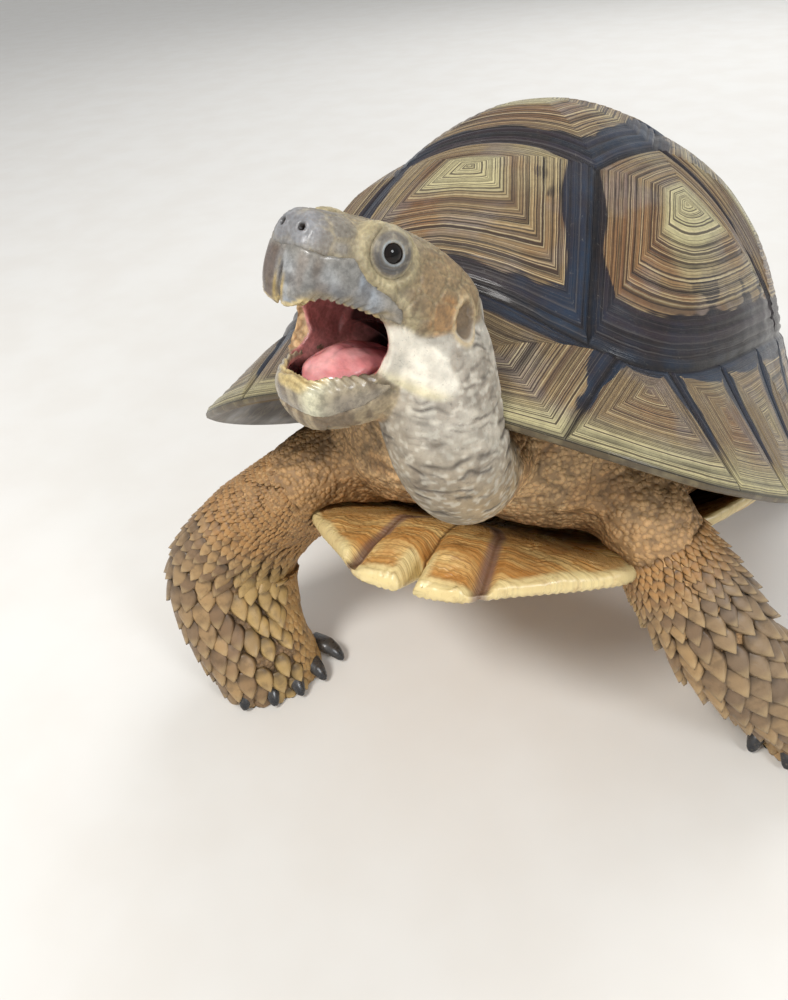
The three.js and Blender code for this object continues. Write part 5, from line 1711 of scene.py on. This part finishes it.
def claw_part(foot, claw, index):
    share = 2 * index / (claw["count"] - 1) - 1
    at, toes = foot

    def heading(degrees):
        return np.array([math.sin(math.radians(degrees)), -math.cos(math.radians(degrees)), 0])

    toe = heading(toes)
    across = np.array([-toe[1], toe[0], 0])
    base = np.array([*at, claw["level"]]) + across * share * claw["span"]
    base = base + toe * (claw["reach"] - CLAW_ROW_CURVE * share**2 - CLAW_ROOT)
    out = heading(toes + claw["fan"] * share)
    stations = []
    for along, rise, girth in CLAW_STATIONS:
        x, y, _ = base + out * along * (claw["length"] + CLAW_ROOT)
        radius = girth * claw["radius"] * CLAW_SLIMNESS
        stations.append([x, y, claw["level"] + rise * claw["radius"], radius, radius * CLAW_FLATNESS])
    points, quads, tris = Limb(stations, [-out[1], out[0], 0], power=2).loft(CLAW_ROWS, CLAW_COLUMNS)
    shares = np.append(np.repeat(np.linspace(0, 1, CLAW_ROWS), CLAW_COLUMNS), [0, 1])
    ridges = 0.12 * np.cos(shares * 40 + 3 * noise(points, 3, 5))
    points[:, 2] += ridges * smoothstep(0, 0.5, shares) * (1 - shares)
    return points, quads, tris, {"along": shares}


def claw_material():
    s = Shader("claw_horn", roughness=0.24, Coat_Weight=0.4, Coat_Roughness=0.15)
    place = s.plus(s.stored("along"), s.times(s.noise(3, 3), 0.3))
    base = s.over("#3a3734", "#15171c", place, 0.55, 0.95)
    base = s.over(base, "#6e6250", s.noise(1.4, 4), 0.55, 0.8, 0.5)
    return s.finish(base, s.uneven(3, 3, 0.18, 0.4), s.relief(s.noise(1.2, 4), 0.15, 0.7))


def build_claws():
    parts, nodes = [], []
    for kind, feet, claw in (("fore", FOREFEET, FORECLAW), ("hind", HINDFEET, HINDCLAW)):
        for side in SIDES:
            parts += [claw_part(feet[side], claw, index) for index in range(claw["count"])]
            nodes += [f"claw_{kind}_{side}_{index + 1}" for index in range(claw["count"])]
    item = new_mesh_object("claws", *joined(parts))
    dress(item, claw_material(), "claw", *nodes)


# ---- Scales of the legs and tail ----

SCALE_GRIDS = {"large": (9, 7, 3), "small": (5, 5, 1)}  # rows, points over the top, points under
ROOT_PATCH = 0.0028  # size of a scale's place on the unwrapped skin
LARGE_SCALE = 6  # scales longer than this have the large grid
SCALE_SKEW = 0.16
SCALE_SUNK, SCALE_ROOT = 0.5, 0.35  # how deep the root is in the skin, and the share of it behind its place
SCALE_CURVE = 52
ROW_STEP, SCALE_STEP = 0.62, 0.74  # from row to row and from scale to scale, as shares of a scale's size
SCALE_LENGTH, SCALE_THICKNESS = 1.28, 0.14


def scale_shape(point_share, grid):
    """A scale as rings from its root to its tip: along, across, out, all for length and width 1."""
    rows, over, below = SCALE_GRIDS[grid]
    along = np.linspace(0, 1, rows)
    half = 0.5 * np.clip(1 - np.abs((along - 0.42) / np.where(along < 0.42, 0.62, 0.585)) ** 1.9, 0.03, 1)
    half = mixed(half, 0.5 * np.clip(1 - np.abs((along - 0.4) / 0.62) ** 1.25, 0.03, 1), point_share)
    top = np.linspace(-1, 1, over)
    under = np.linspace(0.7, -0.7, below) if below > 1 else np.zeros(1)
    across = np.concatenate([top, under])
    is_top = np.concatenate([np.ones(over), np.zeros(below)])
    y = half[:, None] * across[None, :]
    crown = np.sqrt(np.clip(1 - across**2, 0, 1))[None, :]
    rise = is_top * crown * (0.55 + 0.45 * np.sin(np.pi * np.clip(along[:, None], 0, 1)))
    return along[:, None] + 0 * y, y, rise, is_top[None, :] + 0 * y


class Coat:
    """Scales gathered for one piece."""

    def __init__(self):
        self.parts, self.uvs = [], []

    def add(self, limb, share, angle, length, width, thick, tilt, pointed, number, outer):
        here, below = limb.surface([share, share + 0.004], angle)
        down = (below - here) / np.linalg.norm(below - here)
        across = limb.surface([share], angle + 0.03)[0] - here
        across -= down * (across @ down)
        across /= np.linalg.norm(across)
        out = np.cross(across, down)
        if out @ (here - limb.centre(np.array([share]))[0]) < 0:
            out = -out
        along, side, rise, is_top = scale_shape(pointed, "large" if length > LARGE_SCALE else "small")
        down = down + across * SCALE_SKEW * (number * 2 - 1)
        down /= np.linalg.norm(down)
        lifted = tilt * along**1.4 * length - SCALE_SUNK
        height = lifted + rise * thick - (1 - is_top) * 0.55 * thick * along
        points = here + (along - SCALE_ROOT)[..., None] * length * down + side[..., None] * width * across
        points = points + height[..., None] * out
        points = points - ((side * width) ** 2 / SCALE_CURVE)[..., None] * out
        tip, lateral = np.append(along.ravel(), [0, 1]), np.append(side.ravel(), [0, 0])
        values = {"tip": tip, "across": np.abs(lateral) * 2}
        for key, value in (("number", number), ("side", outer), ("size", width)):
            values[key] = np.full(len(tip), value)
        self.parts.append((*loft(points), values))
        root = np.array([0.04 + 0.92 * (angle / (2 * np.pi) % 1), 0.04 + 0.92 * share])
        self.uvs.append(root + (np.column_stack([lateral + 0.5, tip]) - 0.5) * ROOT_PATCH)

    def build(self, name, material):
        points, quads, tris, values = joined(self.parts)
        points[:, 2] = np.maximum(points[:, 2], 0.05)
        item = new_mesh_object(name, points, quads, tris, values)
        layer = item.data.uv_layers.new(name="OFBake")
        corners = np.empty(len(item.data.loops), np.int32)
        item.data.loops.foreach_get("vertex_index", corners)
        layer.data.foreach_set("uv", np.vstack(self.uvs)[corners].astype(np.float32).ravel())
        dress(item, material, "limb")


def angle_towards(limb, share, direction):
    """The angle round a limb whose surface faces a direction most."""
    angles = round_angles(72)
    away = limb.surface(share, angles) - limb.centre(np.array([share]))[0]
    return angles[np.argmax(away / lengths(away) @ np.array(direction))]


def path_length(points):
    return np.linalg.norm(np.diff(points, axis=0), axis=1).sum()


def scale_rows(coat, limb, start, finish, facing, spread, size_at, rng, tilt, pointed):
    """Staggered rows of scales down a limb, on the side that faces a direction."""
    share, row = start, 0
    length_per_share = path_length(limb.centre(np.linspace(start, finish, 40))) / (finish - start)
    while share < finish:
        middle = angle_towards(limb, share, facing)
        girth = path_length(limb.surface(share, np.linspace(0, 2 * np.pi, 60)))
        size = size_at(share)
        count = max(2, int(round(girth * spread / math.pi / (size * SCALE_STEP))))
        for k in range(count):
            place = (k + 0.5 * (row % 2) + 0.25) / count * 2 - 1
            angle = middle + place * spread + rng.uniform(-0.03, 0.03)
            fall = 1 - 0.3 * abs(place) ** 2 * smoothstep(4, 8, size)
            length = size * SCALE_LENGTH * fall * rng.uniform(0.9, 1.12)
            width = size * fall * rng.uniform(0.92, 1.06)
            at = share + rng.uniform(-0.12, 0.12) * size / length_per_share
            if at < 0.02 or at > 0.97:
                continue
            radial = limb.surface([at], angle)[0] - limb.centre(np.array([at]))[0]
            outer = radial[0] * np.sign(limb.stations[-1][0]) / np.linalg.norm(radial)
            thick = SCALE_THICKNESS * size
            coat.add(limb, at, angle, length, width, thick, tilt(place), pointed, rng.random(), outer)
        share += size * ROW_STEP / length_per_share
        row += 1


# Where down each foreleg its scales grow, and by how much; then how they lie: tilt in front, more at the
# sides, and how pointed they are
FORE_GROWTH = {"left": (0.12, 0.42, 9.2), "right": (0.2, 0.5, 8.0)}
FORE_LIE = {"left": (0.24, 0.1, 0.75), "right": (0.17, 0.05, 0.35)}
# The spurs of a thigh: angle from the rear, and share of the limb's length
SPURS = ((0.0, 0.42), (0.5, 0.47), (-0.5, 0.47), (0.2, 0.54), (-0.25, 0.55))
SPUR = dict(length=13, width=8.5, thick=3.2, tilt=0.45, pointed=0.8, outer=0)


def foreleg_coat(side, sign, rng):
    coat, limb = Coat(), FORELEGS[side]
    start, finish, growth = FORE_GROWTH[side]
    tilt, side_tilt, pointed = FORE_LIE[side]

    def front_size(share):
        larger = growth * float(smoothstep(start, finish, share))
        return 2.5 + larger - 4.6 * float(smoothstep(0.76, 0.93, share))

    def front_tilt(place):
        return tilt + side_tilt * abs(place)

    def rear_size(share):
        return 2.6 + 2.6 * float(smoothstep(0.25, 0.6, share))

    front, rear = [sign * 0.3, -0.95, 0.1], [-sign * 0.3, 0.95, 0]
    scale_rows(coat, limb, 0.17, 0.93, front, 1.65, front_size, rng, front_tilt, pointed)
    scale_rows(coat, limb, 0.26, 0.93, rear, 1.5, rear_size, rng, lambda place: 0.06, 0.1)
    return coat


def hindleg_coat(side, sign, rng):
    coat, limb = Coat(), HINDLEGS[side]

    def size(share):
        return 4.2 + 2.2 * float(smoothstep(0.35, 0.7, share))

    for facing, spread in (([sign, 0.1, 0], 1.6), ([-sign, -0.1, 0], 1.5)):
        scale_rows(coat, limb, 0.3, 0.8, facing, spread, size, rng, lambda place: 0.12, 0.2)
    for angle, share in SPURS:
        towards = angle_towards(limb, share, [sign * 0.25, 0.95, 0.1])
        coat.add(limb, share, towards + angle, number=rng.random(), **SPUR)
    return coat


def tail_coat(rng):
    coat = Coat()

    def size(share):
        return 4.4 - 2 * share

    for facing in ([0, 0, 1], [0, 0, -1]):
        scale_rows(coat, TAIL, 0.35, 0.95, facing, 1.6, size, rng, lambda place: 0.1, 0.2)
    return coat


def build_coat():
    rng = np.random.default_rng(7)
    material = scale_material()
    for side, sign in SIDES.items():
        foreleg_coat(side, sign, rng).build(f"scales_fore_{side}", material)
        hindleg_coat(side, sign, rng).build(f"scales_hind_{side}", material)
    tail_coat(rng).build("scales_tail", material)


def scale_material():
    s = Shader("limb_scales", roughness=0.5)
    tip, side, size = s.stored("tip"), s.stored("side"), s.stored("size")
    across = s.stored("across")
    base = s.over("#a5855a", "#7b6145", s.stored("number"), 0.1, 0.9)
    base = s.over(base, "#6a5c4c", side, -0.1, 0.75, 0.6)
    base = s.over(base, "#b89a5c", side, -0.35, -0.8, 0.6)
    base = s.over(base, "#a87a44", size, 6.5, 3.5, 0.85)
    base = s.over(base, "#58452f", s.noise(5, 4), 0.45, 0.7, 0.5)
    base = s.over(base, "#3a2d20", tip, 0.42, 0.1, 0.6)
    base = s.over(base, "#33281e", across, 0.62, 0.95, 0.7)
    base = s.over(base, "#bfa477", tip, 0.6, 0.85, 0.35)
    base = s.over(base, "#33281e", tip, 0.93, 1.0, 0.75)
    rings = s.lines(s.times(s.plus(tip, s.times(across, 0.4)), 9.0), 3.0)
    normal = s.relief(s.noise(1.2, 4), 0.2, 0.6, after=s.relief(rings, 0.25, 0.5))
    return s.finish(base, s.uneven(4, 3, 0.36, 0.6), normal)


# ---- Stage, light and camera ----

CAMERA_AT = np.array([83.0, -276.7, 288.7])
CAMERA_RIGHT = [0.8899, 0.4483, -0.0844]
CAMERA_DOWN = [0.2255, -0.5931, -0.7729]
CAMERA_FORWARD = [-0.3966, 0.6687, -0.6289]
SENSOR = 36.0
FOCAL_SHARE = 0.76  # focal length as a share of the picture's long side
FLOOR_HALF, FLOOR_LEVEL = 4000, -0.2
# The lamps, in metres and watts: name, place, size, power and tint
LAMPS = (
    ("key", (-0.3, -0.8, 1.1), 0.35, 11, (1, 0.98, 0.95)),
    ("fill", (1.0, -0.5, 0.8), 0.4, 6, (0.95, 0.97, 1)),
    ("back", (0.1, 1.5, 1.5), 1.8, 26, (0.95, 0.97, 1)),
)
LAMPS_AIM = Vector((0, 0, 0.1))
WORLD_TINT, WORLD_STRENGTH = (0.95, 0.97, 1.0, 1), 0.6


def build_camera():
    data = bpy.data.cameras.new("camera")
    data.sensor_width = SENSOR
    data.lens = SENSOR * FOCAL_SHARE
    data.clip_start = 0.01
    camera = bpy.data.objects.new("camera", data)
    bpy.context.scene.collection.objects.link(camera)
    right, down, forward = (np.array(v) for v in (CAMERA_RIGHT, CAMERA_DOWN, CAMERA_FORWARD))
    turn = Matrix(np.column_stack([right, -down, -forward]).tolist()).to_4x4()
    camera.matrix_world = Matrix.Translation(Vector((CAMERA_AT + SHIFT) * MM)) @ turn
    bpy.context.scene.camera = camera


def build_floor():
    corners = [[x * FLOOR_HALF, y * FLOOR_HALF, FLOOR_LEVEL] for x, y in ((-1, -1), (1, -1), (1, 1), (-1, 1))]
    item = new_mesh_object("floor", np.array(corners) - SHIFT, [[0, 1, 2, 3]])
    s = Shader("floor", roughness=0.7)
    item.data.materials.append(s.finish(s.over("#d6d2cb", "#d9d6d0", s.noise(60, 3), 0.3, 0.7)))


def build_light():
    world = bpy.data.worlds.new("world")
    bpy.context.scene.world = world
    world.use_nodes = True
    background = world.node_tree.nodes["Background"]
    background.inputs["Color"].default_value = WORLD_TINT
    background.inputs["Strength"].default_value = WORLD_STRENGTH
    for name, place, size, power, tint in LAMPS:
        data = bpy.data.lights.new(name, "AREA")
        data.shape = "DISK"
        data.size = size
        data.energy = power
        data.color = tint
        lamp = bpy.data.objects.new(name, data)
        lamp.location = place
        lamp.visible_glossy = name != "back"
        lamp.rotation_euler = (LAMPS_AIM - Vector(place)).to_track_quat("-Z", "Y").to_euler()
        bpy.context.scene.collection.objects.link(lamp)
    bpy.context.scene.view_settings.view_transform = "Standard"


build_camera()
build_floor()
build_light()
build_carapace()
build_plastron()
build_skin()
build_tongue()
build_eyes()
build_claws()
build_coat()
